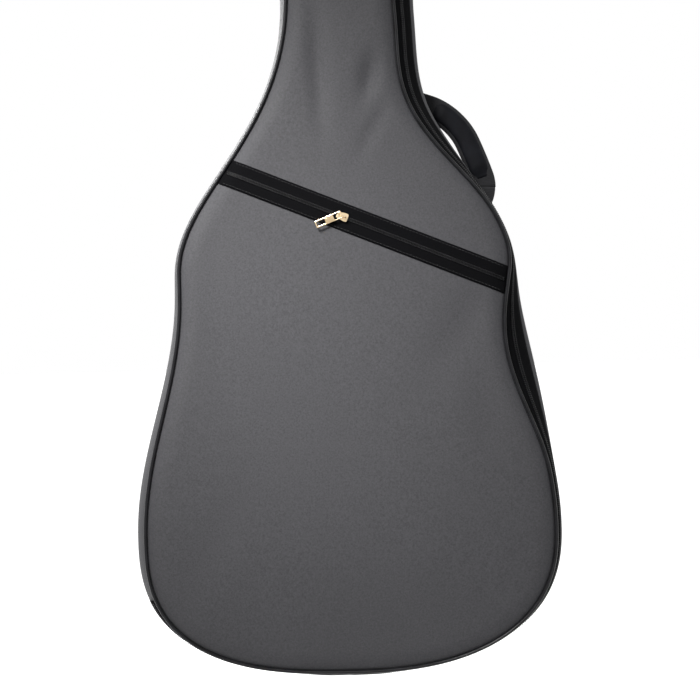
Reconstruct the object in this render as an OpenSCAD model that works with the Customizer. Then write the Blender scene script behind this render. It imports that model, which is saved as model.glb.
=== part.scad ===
// Padded gig bag for an acoustic guitar, hung upright by the loop on its head.
// X runs across the bag, Y from front to back, Z up. The outline of the bag is drawn in
// X and Z from the lowest point of its base, and hung() then moves the origin to the
// crown of the hang loop.

/* [Body outline] */
// Width at the widest point of the lower bout
lower_bout_w = 421; // [340:1:500]
// Height of the widest point of the lower bout
lower_bout_z = 142; // [115:1:170]
// Width at the upper bout
upper_bout_w = 341; // [280:1:400]
// Height at which the flank reaches the upper bout's width
flank_top_z = 388; // [330:1:400]
// Height at which the shoulder starts to turn in
shoulder_z = 411; // [405:1:440]
// Height at which the neck becomes straight
neck_z = 700; // [660:1:730]
// Width of the neck sleeve
neck_w = 109; // [95:1:125]
// Height at which the neck starts to widen into the head
head_flare_z = 860; // [820:1:880]
// Width of the head
head_w = 164; // [150:1:190]
// Height at which the head is widest
head_z = 985; // [960:1:1000]
// Overall height of the panels
bag_h = 1064; // [1040:1:1140]
// Depth from the front face to the back face
depth = 120; // [100:1:145]
// How far the zip rolls in over the front corner at the waist
waist_in = 12.5; // [5:0.5:16]
// How far the zip rolls in over the front corner below the neck
neck_in = 14; // [5:0.5:16]
// How far the side wall stands out beside the zip at the waist
waist_out = 7; // [0:0.5:12]
// How far the side wall stands out beside the zip along the neck
neck_out = 15; // [0:0.5:18]

/* [Layers] */
// Thickness of the outer fabric
fabric_t = 1; // [0.6:0.1:1.4]
// Thickness of the foam in the front and back panels
panel_foam_t = 8; // [5:0.5:10]
// Thickness of the foam in the side wall
gusset_foam_t = 6; // [4:0.5:8]
// Thickness of the lining
lining_t = 1; // [0.6:0.1:1.4]
// Diameter of the piping
piping_d = 3.4; // [2.5:0.1:4.5]

/* [Main zip] */
// Depth of the side wall that the main zip takes up, both tapes together
main_tape_w = 27; // [24:1:34]
// Where the fold line of the front panel meets the base
fold_base_x = -170; // [-180:1:-162]
// Where the fold line of the front panel meets the top
fold_top_x = 26; // [22:1:30]
// Gap between the parts on the two sides of the fold line
fold_gap = 1.2; // [0.8:0.1:2]
// Length of the zip beyond the fold line at the top
zip_tail = 62; // [56:1:66]

/* [Pocket zip] */
// Height of the pocket zip on the bag's centre line
pocket_z = 466; // [450:1:480]
// Slope of the pocket zip, down to the right
pocket_angle = 22.3; // [18:0.1:26]
// Width of the pocket zip, both tapes together
pocket_tape_w = 28; // [24:1:32]
// Left end of the pocket zip, along its line
pocket_left = -150; // [-150:1:-140]
// Right end of the pocket zip, along its line
pocket_right = 178; // [174:1:182]
// Place of the slider along the zip
slider_at = -2; // [-40:1:100]
// Width of the row of closed coils
coil_w = 3.6; // [2.5:0.1:5]

/* [Slider] */
// Length of a slider's body
slider_l = 12; // [10:0.5:14]
// Width of a slider's body
slider_w = 10; // [8:0.5:11]
// Length of a pull
pull_l = 29; // [24:1:34]
// Width of a pull
pull_w = 7.6; // [6.5:0.1:9]
// Thickness of a pull
pull_t = 1.5; // [1.2:0.1:2]
// Angle between the pull and the zip's line
pull_sag = 44; // [0:1:60]

/* [Handle] */
// Width of the handle's webbing
handle_w = 26; // [20:1:32]
// Thickness of the padded grip
grip_t = 12; // [8:1:16]
// Distance of the handle's swing axis from its stitched ends
handle_stand = 8; // [6:0.5:11]
// Rise of the middle of the handle over that axis
handle_rise = 13; // [5:0.5:18]
// Place of the handle across the side wall, behind the bag's middle
handle_y = 14; // [6:1:22]

/* [Straps] */
// Width of a shoulder strap's pad
strap_pad_w = 50; // [40:1:56]
// Thickness of a shoulder strap's pad
strap_pad_t = 8; // [5:0.5:12]
// Width of a strap's webbing
strap_web_w = 25; // [20:1:30]
// Height of the shoulder straps' upper seam
strap_top_z = 600; // [580:1:610]
// Height of the shoulder straps' lower seam
strap_base_z = 88; // [80:1:110]

/* [Hang loop] */
// Inner width of the hang loop
loop_gap = 26; // [20:1:34]
// Inner height of the hang loop
loop_h = 34; // [26:1:44]
// Width of the loop's webbing
loop_w = 20; // [15:1:25]
// Thickness of webbing
web_t = 2; // [1.5:0.1:2.6]

/* [Hidden] */
$fn = 48;
SIDE_STEPS = 12;
running_gap = 0.3;

half_d = depth / 2;
stack_t = fabric_t * 2 + panel_foam_t + lining_t;
wall_t = fabric_t + gusset_foam_t + lining_t;
front_face = -half_d;
back_face = half_d;
cavity_front = front_face + stack_t;
cavity_back = back_face - stack_t;

zip_front_y = front_face + fabric_t;
zip_mid_y = zip_front_y + main_tape_w / 2;
zip_back_y = zip_front_y + main_tape_w;
tape_t = 0.8;
zip_end_z = 78;
zip_end_x = fold_top_x - zip_tail;

loop_y = 8;
hang_z = bag_h + loop_h;

fabric_grey = [0.37, 0.38, 0.40];
zip_black = [0.07, 0.07, 0.08];
vinyl_black = [0.05, 0.05, 0.06];
web_black = [0.09, 0.09, 0.10];
foam_grey = [0.55, 0.55, 0.56];
lining_black = [0.13, 0.13, 0.15];
gold = [0.80, 0.66, 0.42];
plastic_black = [0.06, 0.06, 0.06];

// ---- Curves -------------------------------------------------------------

function bezier(a, b, c, d, t) =
    a * pow(1 - t, 3) + b * 3 * t * pow(1 - t, 2) + c * 3 * t * t * (1 - t) + d * pow(t, 3);

// A quarter of a superellipse, from its end on the X axis at f = 0 to its end on the Z axis
function corner_point(w, h, n, f) =
    [w * pow(cos(90 * f), 2 / n), h * pow(sin(90 * f), 2 / n)];

function ease(f) = (1 - cos(180 * f)) / 2;

// The shoulder, from the upper bout at t = 0 to the neck at t = 1
shoulder_fullness = 84;
neck_blend = 150;
function shoulder(t) = bezier(
    [upper_bout_w / 2, shoulder_z],
    [upper_bout_w / 2, shoulder_z + shoulder_fullness],
    [neck_w / 2, neck_z - neck_blend],
    [neck_w / 2, neck_z], t);

// On the zip's side, how far the front panel's edge lies inside the outline at height z,
// and how far the side wall lies outside it
function bump(z, middle, half, size) =
    abs(z - middle) < half ? size * pow(cos(90 * (z - middle) / half), 2) : 0;
function ramp(z, from, to) = ease(min(max((z - from) / (to - from), 0), 1));
function roll_in(z) = bump(z, 322, 125, waist_in) + bump(z, 572, 105, neck_in);
function roll_out(z) =
    bump(z, 318, 130, waist_out) + neck_out * ramp(z, 560, 680) * ramp(z, head_z, head_flare_z);
function rolled(p, front, zip) =
    [p[0] + zip * (roll_out(p[1]) * (1 - front) - roll_in(p[1]) * front), p[1]];

// One side of the outline, from the base to the top, as half-widths and heights.
// base_n and top_n set how square the corners are. zip = 1 is the zip's side, and
// front = 1 the front panel's edge.
top_n = 2.5;
function side(base_n, front, zip) = [
    for (i = [0:SIDE_STEPS + 2])
        let (p = corner_point(lower_bout_w / 2, lower_bout_z, base_n, 1 - i / (SIDE_STEPS + 2)))
        [p[0], lower_bout_z - p[1]],
    for (i = [1:SIDE_STEPS])
        let (f = i / SIDE_STEPS)
        rolled([(lower_bout_w + (upper_bout_w - lower_bout_w) * ease(f)) / 2,
            lower_bout_z + (flank_top_z - lower_bout_z) * f], front, zip),
    for (i = [0:SIDE_STEPS + 2]) rolled(shoulder(i / (SIDE_STEPS + 2)), front, zip),
    for (i = [0:SIDE_STEPS - 2])
        let (f = i / (SIDE_STEPS - 2))
        rolled([(neck_w + (head_w - neck_w) * ease(f)) / 2,
            head_flare_z + (head_z - head_flare_z) * f], front, zip),
    for (i = [1:SIDE_STEPS])
        let (p = corner_point(head_w / 2, bag_h - head_z, top_n, i / SIDE_STEPS))
        [p[0], head_z + p[1]],
];

function flipped(points) =
    [for (i = [len(points) - 2:-1:1]) [-points[i][0], points[i][1]]];

// The closed outline, anticlockwise from the base's middle: the front panel's edge with
// front = 1, and the side wall's and the back's with front = 0
function outline(front) = concat(side(2.4, front, 1), flipped(side(2.75, front, 0)));

function unit(v) = v / norm(v);
function outward(points, i) =
    let (n = len(points), d = unit(points[(i + 1) % n] - points[(i + n - 1) % n]))
    [d[1], -d[0]];
function grown(points, by) =
    [for (i = [0:len(points) - 1]) points[i] + by * outward(points, i)];

wall_line = outline(0);
front_line = outline(1);
mid_line = [for (i = [0:len(wall_line) - 1]) (wall_line[i] + front_line[i]) / 2];

function thickened(row, by) =
    let (last = len(row) - 1)
    [for (i = [0:last])
        let (d = unit(row[min(i + 1, last)] - row[max(i - 1, 0)]))
        row[i] + by * [d[1], -d[0]]];

// The band of a given width along a row of points
function band(points, w) =
    let (last = len(points) - 1,
         along = [for (i = [0:last]) unit(points[min(i + 1, last)] - points[max(i - 1, 0)])])
    concat(
        [for (i = [0:last]) points[i] + [along[i][1], -along[i][0]] * w / 2],
        [for (i = [last:-1:0]) points[i] - [along[i][1], -along[i][0]] * w / 2]);

// ---- Shared shapes ------------------------------------------------------

module hung() { translate([0, -loop_y, -hang_z]) children(); }

// A flat shape drawn in X and Z, from depth y0 to depth y1
module slab(y0, y1) {
    translate([0, y1, 0]) rotate([90, 0, 0]) linear_extrude(y1 - y0) children();
}

module plate(points, y0, y1) { slab(y0, y1) polygon(points); }

// A ring that follows a closed line, from one distance outside it to another
module ring(points, outer, inner, y0, y1) {
    difference() {
        plate(grown(points, outer), y0, y1);
        plate(grown(points, inner), y0 - 1, y1 + 1);
    }
}

// A strip that leans from one row of points at depth y0 to another at depth y1
module leaning_strip(row0, y0, row1, y1, t) {
    n = len(row0);
    points = concat(
        [for (p = row0) [p[0], y0, p[1]]], [for (p = thickened(row0, t)) [p[0], y0, p[1]]],
        [for (p = thickened(row1, t)) [p[0], y1, p[1]]], [for (p = row1) [p[0], y1, p[1]]]);
    sides = [for (k = [0:3], i = [0:n - 2])
        let (m = (k + 1) % 4)
        [k * n + i, k * n + i + 1, m * n + i + 1, m * n + i]];
    caps = [[0, n, 2 * n, 3 * n], [4 * n - 1, 3 * n - 1, 2 * n - 1, n - 1]];
    polyhedron(points = points, faces = concat(sides, caps), convexity = 6);
}

FAR = 400;
function fold_x(z) = fold_base_x + (fold_top_x - fold_base_x) * z / bag_h;

// Everything on the flap's side of the fold line, moved across by dx
module flap_side(dx) {
    plate([[fold_x(-50) + dx, -50], [FAR, -50], [FAR, bag_h + 50], [fold_x(bag_h + 50) + dx, bag_h + 50]],
        -FAR, FAR);
}

// The part of the side wall that the main zip runs along: the right side and both ends
module zip_side() {
    translate([0, -FAR, -50]) cube([FAR, 2 * FAR, bag_h + 100]);
    translate([-FAR, -FAR, -50]) cube([FAR, 2 * FAR, 50 + zip_end_z]);
    translate([zip_end_x, -FAR, head_z]) cube([-zip_end_x, 2 * FAR, bag_h]);
}

// How far a point is past the fold line, and past the nearer end of the main zip
function past_fold(p, dx) = p[0] - fold_x(p[1]) - dx;
function past_end(p) =
    p[0] > 0 ? 100 : p[1] < bag_h / 2 ? zip_end_z - p[1] : p[0] - zip_end_x;
function in_zone(p, zone) =
    zone == "flap" ? past_fold(p, fold_gap / 2)
    : zone == "zip" ? past_end(p)
    : zone == "base" ? (p[1] < bag_h / 2 ? min(past_end(p), -past_fold(p, -fold_gap / 2)) : -1)
    : (p[1] > bag_h / 2 ? min(past_end(p), -past_fold(p, -fold_gap / 2)) : -1);

// The stretch of a closed line inside a zone, with its ends cut to the zone's edge. The
// line is turned to start on the left of the neck, which is in no zone.
function stretch(line, zone) =
    let (n = len(line), start = floor(n * 0.62),
         p = [for (i = [0:n]) line[(i + start) % n]])
    [for (i = [0:n - 1])
        let (a = in_zone(p[i], zone), b = in_zone(p[i + 1], zone))
        each concat(a > 0 ? [p[i]] : [], a * b < 0 ? [p[i] + (p[i + 1] - p[i]) * a / (a - b)] : [])];

module on_flap() { intersection() { children(); flap_side(fold_gap / 2); } }
module on_fold_side() { difference() { children(); flap_side(-fold_gap / 2); } }

// ---- Back panel and side wall -------------------------------------------

seam_in = 1.5;

module back_panel() {
    hung() color(fabric_grey)
        plate(grown(wall_line, -seam_in), back_face - fabric_t, back_face);
}
module back_foam() {
    hung() color(foam_grey)
        plate(grown(wall_line, -fabric_t), cavity_back + lining_t, back_face - fabric_t);
}
module back_lining() {
    hung() color(lining_black)
        plate(grown(wall_line, -fabric_t), cavity_back, cavity_back + lining_t);
}
module back_piping() {
    hung() color(vinyl_black)
        ring(wall_line, piping_d - seam_in, -seam_in, back_face - fabric_t, back_face - fabric_t + piping_d);
}

// The side wall's layers: outside surface, inside surface, and how far they reach to the back
module wall_layer(outer, inner, front, back) { ring(wall_line, -outer, -inner, front, back); }

module gusset_fold_fabric() {
    hung() color(fabric_grey) difference() {
        wall_layer(0, fabric_t, front_face + fabric_t, back_face - fabric_t);
        zip_side();
    }
}
module gusset_fold_foam() {
    hung() color(foam_grey) difference() {
        wall_layer(fabric_t, fabric_t + gusset_foam_t, cavity_front + running_gap, cavity_back);
        zip_side();
    }
}
module gusset_fold_lining() {
    hung() color(lining_black) difference() {
        wall_layer(fabric_t + gusset_foam_t, wall_t, cavity_front + running_gap, cavity_back);
        zip_side();
    }
}
module gusset_zip_fabric() {
    hung() color(fabric_grey) intersection() {
        wall_layer(0, fabric_t, zip_back_y, back_face - fabric_t);
        zip_side();
    }
}
module gusset_zip_foam() {
    hung() color(foam_grey) intersection() {
        wall_layer(fabric_t, fabric_t + gusset_foam_t, zip_back_y, cavity_back);
        zip_side();
    }
}
module gusset_zip_lining() {
    hung() color(lining_black) intersection() {
        wall_layer(fabric_t + gusset_foam_t, wall_t, zip_back_y, cavity_back);
        zip_side();
    }
}

// ---- Front panel --------------------------------------------------------

slot_half = 6;

// Everything above the pocket's slot, or below it with under = true
module beside_slot(under) {
    on_pocket() translate([-FAR, -FAR, under ? -3 * FAR - slot_half : slot_half])
        cube([2 * FAR, 2 * FAR, 3 * FAR]);
}
module front_cloth() { plate(grown(front_line, -seam_in), front_face, front_face + fabric_t); }
module front_layer(y0, y1) { plate(grown(front_line, -fabric_t), y0, y1); }
module front_rim() {
    ring(front_line, piping_d - seam_in, -seam_in, front_face + fabric_t - piping_d, front_face + fabric_t);
}

module front_upper_panel() {
    hung() color(fabric_grey) on_flap() intersection() {
        front_cloth();
        beside_slot(false);
    }
}
module pocket_panel() {
    hung() color(fabric_grey) on_flap() intersection() {
        front_cloth();
        beside_slot(true);
    }
}
module pocket_backing() {
    hung() color(lining_black) on_flap()
        front_layer(front_face + fabric_t, front_face + 2 * fabric_t);
}
module flap_foam() {
    hung() color(foam_grey) on_flap() front_layer(front_face + 2 * fabric_t, cavity_front - lining_t);
}
module flap_lining() {
    hung() color(lining_black) on_flap() front_layer(cavity_front - lining_t, cavity_front);
}
module flap_piping() { hung() color(vinyl_black) on_flap() front_rim(); }

module fold_strip_upper() {
    hung() color(fabric_grey) on_fold_side() intersection() {
        front_cloth();
        beside_slot(false);
    }
}
module fold_strip_lower() {
    hung() color(fabric_grey) on_fold_side() intersection() {
        front_cloth();
        beside_slot(true);
    }
}
module fold_strip_foam() {
    hung() color(foam_grey) on_fold_side() front_layer(front_face + fabric_t, cavity_front - lining_t);
}
module fold_strip_lining() {
    hung() color(lining_black) on_fold_side() front_layer(cavity_front - lining_t, cavity_front);
}
module fold_strip_piping() { hung() color(vinyl_black) on_fold_side() front_rim(); }

// ---- Main zip -----------------------------------------------------------

zip_split = 0.2;
coil_t = 1.4;
coil_lift = 0.15;

function between(row0, row1, f) = [for (i = [0:len(row0) - 1]) row0[i] + (row1[i] - row0[i]) * f];

module front_tape(zone) {
    leaning_strip(stretch(front_line, zone), zip_front_y, stretch(mid_line, zone), zip_mid_y - zip_split, tape_t);
}

// The coils stitched along the middle edge of a tape, on its outer face. The tape runs from
// far_line at depth far_y to the zip's middle, and into = -1 or 1 is the way it lies from there.
module coil_row(zone, far_line, far_y, into) {
    far = thickened(stretch(far_line, zone), tape_t + coil_lift);
    mid = thickened(stretch(mid_line, zone), tape_t + coil_lift);
    mid_y = zip_mid_y + into * zip_split;
    edge_y = zip_mid_y + into * coil_w / 2;
    edge = between(mid, far, (edge_y - mid_y) / (far_y - mid_y));
    if (into < 0) leaning_strip(edge, edge_y, mid, mid_y, coil_t);
    else leaning_strip(mid, mid_y, edge, edge_y, coil_t);
}
module front_coil(zone) { coil_row(zone, front_line, zip_front_y, -1); }

module main_tape_front() { hung() color(zip_black) front_tape("flap"); }
module main_coil_front() { hung() color(plastic_black) front_coil("flap"); }
module main_tape_rear() {
    hung() color(zip_black) leaning_strip(
        stretch(mid_line, "zip"), zip_mid_y + zip_split, stretch(wall_line, "zip"), zip_back_y, tape_t);
}
module main_coil_rear() { hung() color(plastic_black) coil_row("zip", wall_line, zip_back_y, 1); }
module main_tape_base_end() { hung() color(zip_black) front_tape("base"); }
module main_tape_top_end() { hung() color(zip_black) front_tape("top"); }
module main_coil_ends() {
    hung() color(plastic_black) {
        front_coil("base");
        front_coil("top");
    }
}

// ---- Pocket zip ---------------------------------------------------------

tape_face = front_face - tape_t;
coil_face = tape_face - coil_t;

// Moves to the pocket zip's line: X runs along it, down to the right
module on_pocket() { translate([0, 0, pocket_z]) rotate([0, pocket_angle, 0]) children(); }

module pocket_strip(low, high, y0, y1) {
    intersection() {
        on_pocket() translate([pocket_left, y0, low]) cube([pocket_right - pocket_left, y1 - y0, high - low]);
        plate(grown(front_line, -seam_in - running_gap), -FAR, FAR);
    }
}
module pocket_tape(from, to) { pocket_strip(from, to, tape_face, front_face); }
module pocket_coil(from, to) { pocket_strip(from, to, coil_face, tape_face); }

module pocket_tape_upper() {
    hung() color(zip_black) on_flap() pocket_tape(zip_split, pocket_tape_w / 2);
}
module pocket_tape_lower() {
    hung() color(zip_black) on_flap() pocket_tape(-pocket_tape_w / 2, -zip_split);
}
module pocket_coil_upper() {
    hung() color(plastic_black) on_flap() pocket_coil(zip_split, coil_w / 2);
}
module pocket_coil_lower() {
    hung() color(plastic_black) on_flap() pocket_coil(-coil_w / 2, -zip_split);
}
module pocket_tape_end() {
    hung() color(zip_black) on_fold_side() pocket_tape(-pocket_tape_w / 2, pocket_tape_w / 2);
}
module pocket_coil_end() {
    hung() color(plastic_black) on_fold_side() pocket_coil(-coil_w / 2, coil_w / 2);
}

// ---- Sliders ------------------------------------------------------------

plate_t = 1;
slider_gap = 0.35;
bridge_w = 1.2;
bridge_t = 1;
bridge_l = 8;
bridge_h = 3.6;

// The upper plate of a slider over the coils, with its flared nose and its bridge.
// Z points away from the tape, X along the zip, and z = 0 is the coils' face.
module slider_shape() {
    translate([0, 0, slider_gap]) {
        linear_extrude(plate_t) polygon([
            [-slider_l / 2, -slider_w * 0.34], [0, -slider_w * 0.36], [slider_l * 0.3, -slider_w / 2],
            [slider_l / 2, -slider_w * 0.44], [slider_l / 2, slider_w * 0.44],
            [slider_l * 0.3, slider_w / 2], [0, slider_w * 0.36], [-slider_l / 2, slider_w * 0.34]]);
        for (side = [-1, 1])
            translate([-slider_l / 2, side * (coil_w / 2 + slider_gap + plate_t / 2) - plate_t / 2, -coil_t])
                cube([slider_l * 0.8, plate_t, coil_t + 0.1]);
        for (end = [-1, 1])
            translate([end * (bridge_l - bridge_t) / 2 - bridge_t / 2, -bridge_w / 2, plate_t - 0.1])
                cube([bridge_t, bridge_w, bridge_h + 0.1]);
        translate([-bridge_l / 2, -bridge_w / 2, plate_t + bridge_h - bridge_t])
            cube([bridge_l, bridge_w, bridge_t]);
    }
}

// A pull: a flat bar with a window at each end, lying along -X. The bridge's rear post
// stands in its first window, and the bar beyond that window turns under the bridge.
post_x = -(bridge_l - bridge_t) / 2;
pull_z = slider_gap + plate_t + 0.4;
pull_bar = 1.5;
bar_x = 1.4;
eye_l = 7.4;
eye_rail = 0.8;
window_l = 9;
rim_w = 1.4;
module pull_shape() {
    tail = bar_x + pull_bar - pull_l;
    translate([0, 0, pull_z]) difference() {
        translate([tail, -pull_w / 2, 0]) cube([pull_l, pull_w, pull_t]);
        translate([bar_x - eye_l, -pull_w / 2 + eye_rail, -1])
            cube([eye_l, pull_w - 2 * eye_rail, pull_t + 2]);
        translate([tail + rim_w, -pull_w / 2 + rim_w, -1])
            cube([window_l, pull_w - 2 * rim_w, pull_t + 2]);
    }
}

module at_pocket_slider() {
    on_pocket() translate([slider_at, coil_face, 0]) rotate([90, 0, 0]) children();
}
module pocket_slider() { hung() color(gold) at_pocket_slider() slider_shape(); }
module pocket_pull() { hung() color(gold) at_pocket_slider() translate([post_x, 0, 0]) rotate([0, 0, pull_sag]) pull_shape(); }

// Where the main zip's slider is parked, on the top of the head and left of the fold line
slider_park = 26;
main_slider_x = fold_top_x - slider_park;
module at_main_slider() {
    translate([main_slider_x, zip_mid_y, bag_h + tape_t + coil_lift + coil_t]) children();
}
module main_slider() { hung() color(gold) at_main_slider() slider_shape(); }
module main_pull() { hung() color(gold) at_main_slider() translate([post_x, 0, 0]) pull_shape(); }

// ---- Handle -------------------------------------------------------------

handle_top_t = 0.745;
handle_base_t = 0.345;
handle_a = shoulder(handle_top_t);
handle_b = shoulder(handle_base_t);
handle_dir = unit(handle_b - handle_a);
handle_out = [-handle_dir[1], handle_dir[0]];
axis_a = handle_a + handle_out * handle_stand;
axis_b = handle_b + handle_out * handle_stand;
handle_chord = norm(axis_b - axis_a);
handle_end_gap = 6;
handle_r = (pow(handle_chord / 2, 2) + pow(handle_rise, 2)) / (2 * handle_rise);
handle_half_angle = asin((handle_chord / 2 - handle_end_gap) / handle_r);
handle_mid = (axis_a + axis_b) / 2 + handle_out * (handle_rise - handle_r);
handle_turn = atan2(handle_out[1], handle_out[0]);
wall_clear = 1.2;
grip_clear = 3.2;

// An arc of the handle with a given half-angle, width out from the bag, and thickness
module handle_arc(half_angle, w, t) {
    translate([handle_mid[0], handle_y, handle_mid[1]]) rotate([90, 0, 0])
        rotate([0, 0, handle_turn - half_angle]) rotate_extrude(angle = 2 * half_angle, $fn = 96)
            translate([handle_r - w / 2, -t / 2]) square([w, t]);
}
module clear_of_wall(by) {
    difference() {
        children();
        plate(grown(wall_line, by), handle_y - 30, handle_y + 30);
    }
}
module handle_webbing() {
    hung() color(web_black) clear_of_wall(wall_clear)
        handle_arc(handle_half_angle, handle_w, 2 * web_t);
}
module handle_grip() {
    hung() color(vinyl_black) clear_of_wall(grip_clear) difference() {
        handle_arc(handle_half_angle * 0.72, handle_w - 2, grip_t);
        handle_arc(handle_half_angle, handle_w, 2 * web_t);
    }
}
// A stitched end of the handle: it rises from the side wall, in line with the swing axis
end_w = 18;
end_l = 14;
end_clear = 1.8;
module handle_end(at, from) {
    difference() {
        translate([at[0], handle_y - end_w / 2, at[1]]) rotate([0, -atan2(handle_dir[1], handle_dir[0]), 0])
            translate([from, 0, -handle_stand - 5]) cube([end_l, end_w, handle_stand + 8]);
        plate(wall_line, handle_y - 30, handle_y + 30);
    }
}
module handle_end_top() {
    hung() color(web_black) handle_end(axis_a, handle_end_gap - end_clear - end_l);
}
module handle_end_base() { hung() color(web_black) handle_end(axis_b, end_clear - handle_end_gap); }

// ---- Shoulder straps ----------------------------------------------------

strap_y = back_face + 3.2;
STRAP_STEPS = 10;
pad_top = [50, strap_top_z - 8];
pad_end = [74, 345];
lock_at = [76, 332];
web_end = [150, strap_base_z + 6];
function pad_point(t) = bezier(pad_top, pad_top + [2, -90], pad_end + [-6, 80], pad_end, t);
function web_point(t) = bezier(lock_at, lock_at + [10, -80], web_end + [-34, 66], web_end, t);
pad_points = [for (i = [0:STRAP_STEPS]) pad_point(i / STRAP_STEPS)];
web_points = [for (i = [0:STRAP_STEPS]) web_point(i / STRAP_STEPS)];
tail_points = [for (i = [0:4]) web_point(i / 9) + [0, -4]];
lock_w = strap_web_w + 12;
lock_h = 26;
lock_t = 5;
lock_bar = 4;

module strap_pad_shape() {
    difference() {
        plate(band(pad_points, strap_pad_w), strap_y, strap_y + strap_pad_t);
        at_lock() translate([-lock_w / 2 - 1, -1, -lock_h]) cube([lock_w + 2, strap_pad_t + 2, 2 * lock_h]);
    }
}
module at_lock() {
    d = unit(web_points[1] - web_points[0]);
    translate([lock_at[0], strap_y, lock_at[1]]) rotate([0, atan2(-d[0], -d[1]), 0]) children();
}
module strap_lock_shape() {
    at_lock() translate([-lock_w / 2, 0, 0]) difference() {
        cube([lock_w, lock_t, lock_h]);
        for (z = [lock_bar, lock_h / 2 + lock_bar / 2])
            translate([lock_bar + 1, -1, z])
                cube([lock_w - 2 * lock_bar - 2, lock_t + 2, lock_h / 2 - 1.5 * lock_bar]);
    }
}
module strap_web_shape() {
    difference() {
        union() {
            plate(band(web_points, strap_web_w), strap_y, strap_y + web_t);
            plate(band(tail_points, strap_web_w), strap_y + web_t, strap_y + 2 * web_t);
        }
        at_lock() translate([-lock_w / 2, -1, 0]) cube([lock_w, 20, lock_h + 20]);
    }
}
module other_side() { mirror([1, 0, 0]) children(); }

module strap_pad_right() { hung() color(fabric_grey) strap_pad_shape(); }
module strap_pad_left() { hung() color(fabric_grey) other_side() strap_pad_shape(); }
module strap_lock_right() { hung() color(plastic_black) strap_lock_shape(); }
module strap_lock_left() { hung() color(plastic_black) other_side() strap_lock_shape(); }
module strap_web_right() { hung() color(web_black) strap_web_shape(); }
module strap_web_left() { hung() color(web_black) other_side() strap_web_shape(); }

patch_t = 1.2;
patch_w = 176;
module strap_patch() {
    hung() color(vinyl_black) intersection() {
        plate([[-patch_w / 2, strap_top_z - 14], [patch_w / 2, strap_top_z - 14],
            [patch_w / 2 - 26, strap_top_z + 34], [-patch_w / 2 + 26, strap_top_z + 34]],
            back_face, back_face + patch_t);
        plate(grown(wall_line, -seam_in - running_gap), 0, FAR);
    }
}
tab_reach = 30;
module strap_tab_shape() {
    intersection() {
        plate([web_end + [-20, 12], web_end + [20, 8], web_end + [36, -tab_reach], web_end + [4, -tab_reach - 12]],
            back_face, back_face + patch_t);
        plate(grown(wall_line, -seam_in - running_gap), 0, FAR);
    }
}
module strap_tab_right() { hung() color(web_black) strap_tab_shape(); }
module strap_tab_left() { hung() color(web_black) other_side() strap_tab_shape(); }

// ---- Hang loop ----------------------------------------------------------

loop_r = loop_gap / 2;
module hang_loop() {
    hung() color(web_black) translate([0, loop_y, bag_h + loop_h - loop_r]) {
        rotate([90, 0, 0]) translate([0, 0, -loop_w / 2])
            rotate_extrude(angle = 180) translate([loop_r, 0]) square([web_t, loop_w]);
        for (x = [-loop_r - web_t, loop_r])
            translate([x, -loop_w / 2, -loop_h + loop_r]) cube([web_t, loop_w, loop_h - loop_r]);
    }
}
module loop_foot() {
    foot_l = 16;
    hung() color(web_black) difference() {
        for (side = [-1, 1])
            translate([side * (loop_r + web_t + foot_l / 2) - foot_l / 2, loop_y - loop_w / 2, bag_h - 12])
                cube([foot_l, loop_w, 12 + web_t]);
        plate(wall_line, -FAR, FAR);
    }
}

// ---- Inside the bag -----------------------------------------------------

rest_w = 76;
rest_h = 70;
rest_y0 = 22;
module neck_rest() {
    hung() color(lining_black) difference() {
        translate([-rest_w / 2, rest_y0, neck_z - 5]) cube([rest_w, cavity_back - rest_y0, rest_h]);
        translate([0, rest_y0 - 8, neck_z - 6]) cylinder(r = 26, h = rest_h + 2);
    }
}
pad_half_w = 70;
module end_pad() {
    hung() color(lining_black) intersection() {
        ring(wall_line, -wall_t, -wall_t - 14, zip_back_y, cavity_back);
        translate([-pad_half_w, -FAR, 0]) cube([2 * pad_half_w, 2 * FAR, 60]);
    }
}

back_panel();
back_foam();
back_lining();
back_piping();
gusset_fold_fabric();
gusset_fold_foam();
gusset_fold_lining();
gusset_zip_fabric();
gusset_zip_foam();
gusset_zip_lining();
front_upper_panel();
pocket_panel();
pocket_backing();
flap_foam();
flap_lining();
flap_piping();
fold_strip_upper();
fold_strip_lower();
fold_strip_foam();
fold_strip_lining();
fold_strip_piping();
main_tape_front();
main_coil_front();
main_tape_rear();
main_coil_rear();
main_tape_base_end();
main_tape_top_end();
main_coil_ends();
main_slider();
main_pull();
pocket_tape_upper();
pocket_tape_lower();
pocket_coil_upper();
pocket_coil_lower();
pocket_tape_end();
pocket_coil_end();
pocket_slider();
pocket_pull();
handle_webbing();
handle_grip();
handle_end_top();
handle_end_base();
strap_pad_right();
strap_lock_right();
strap_web_right();
strap_tab_right();
strap_pad_left();
strap_lock_left();
strap_web_left();
strap_tab_left();
strap_patch();
hang_loop();
loop_foot();
neck_rest();
end_pad();
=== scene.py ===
"""Padded gig bag: the looks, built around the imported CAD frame.

The bag is drawn in millimetres: X across, Y from front to back with 0 at its middle, and Z up
from its base. placed() turns that into the frame's metres.
"""
import math

import bmesh
import bpy
import numpy as np
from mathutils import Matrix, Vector
from mathutils.geometry import delaunay_2d_cdt


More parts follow.
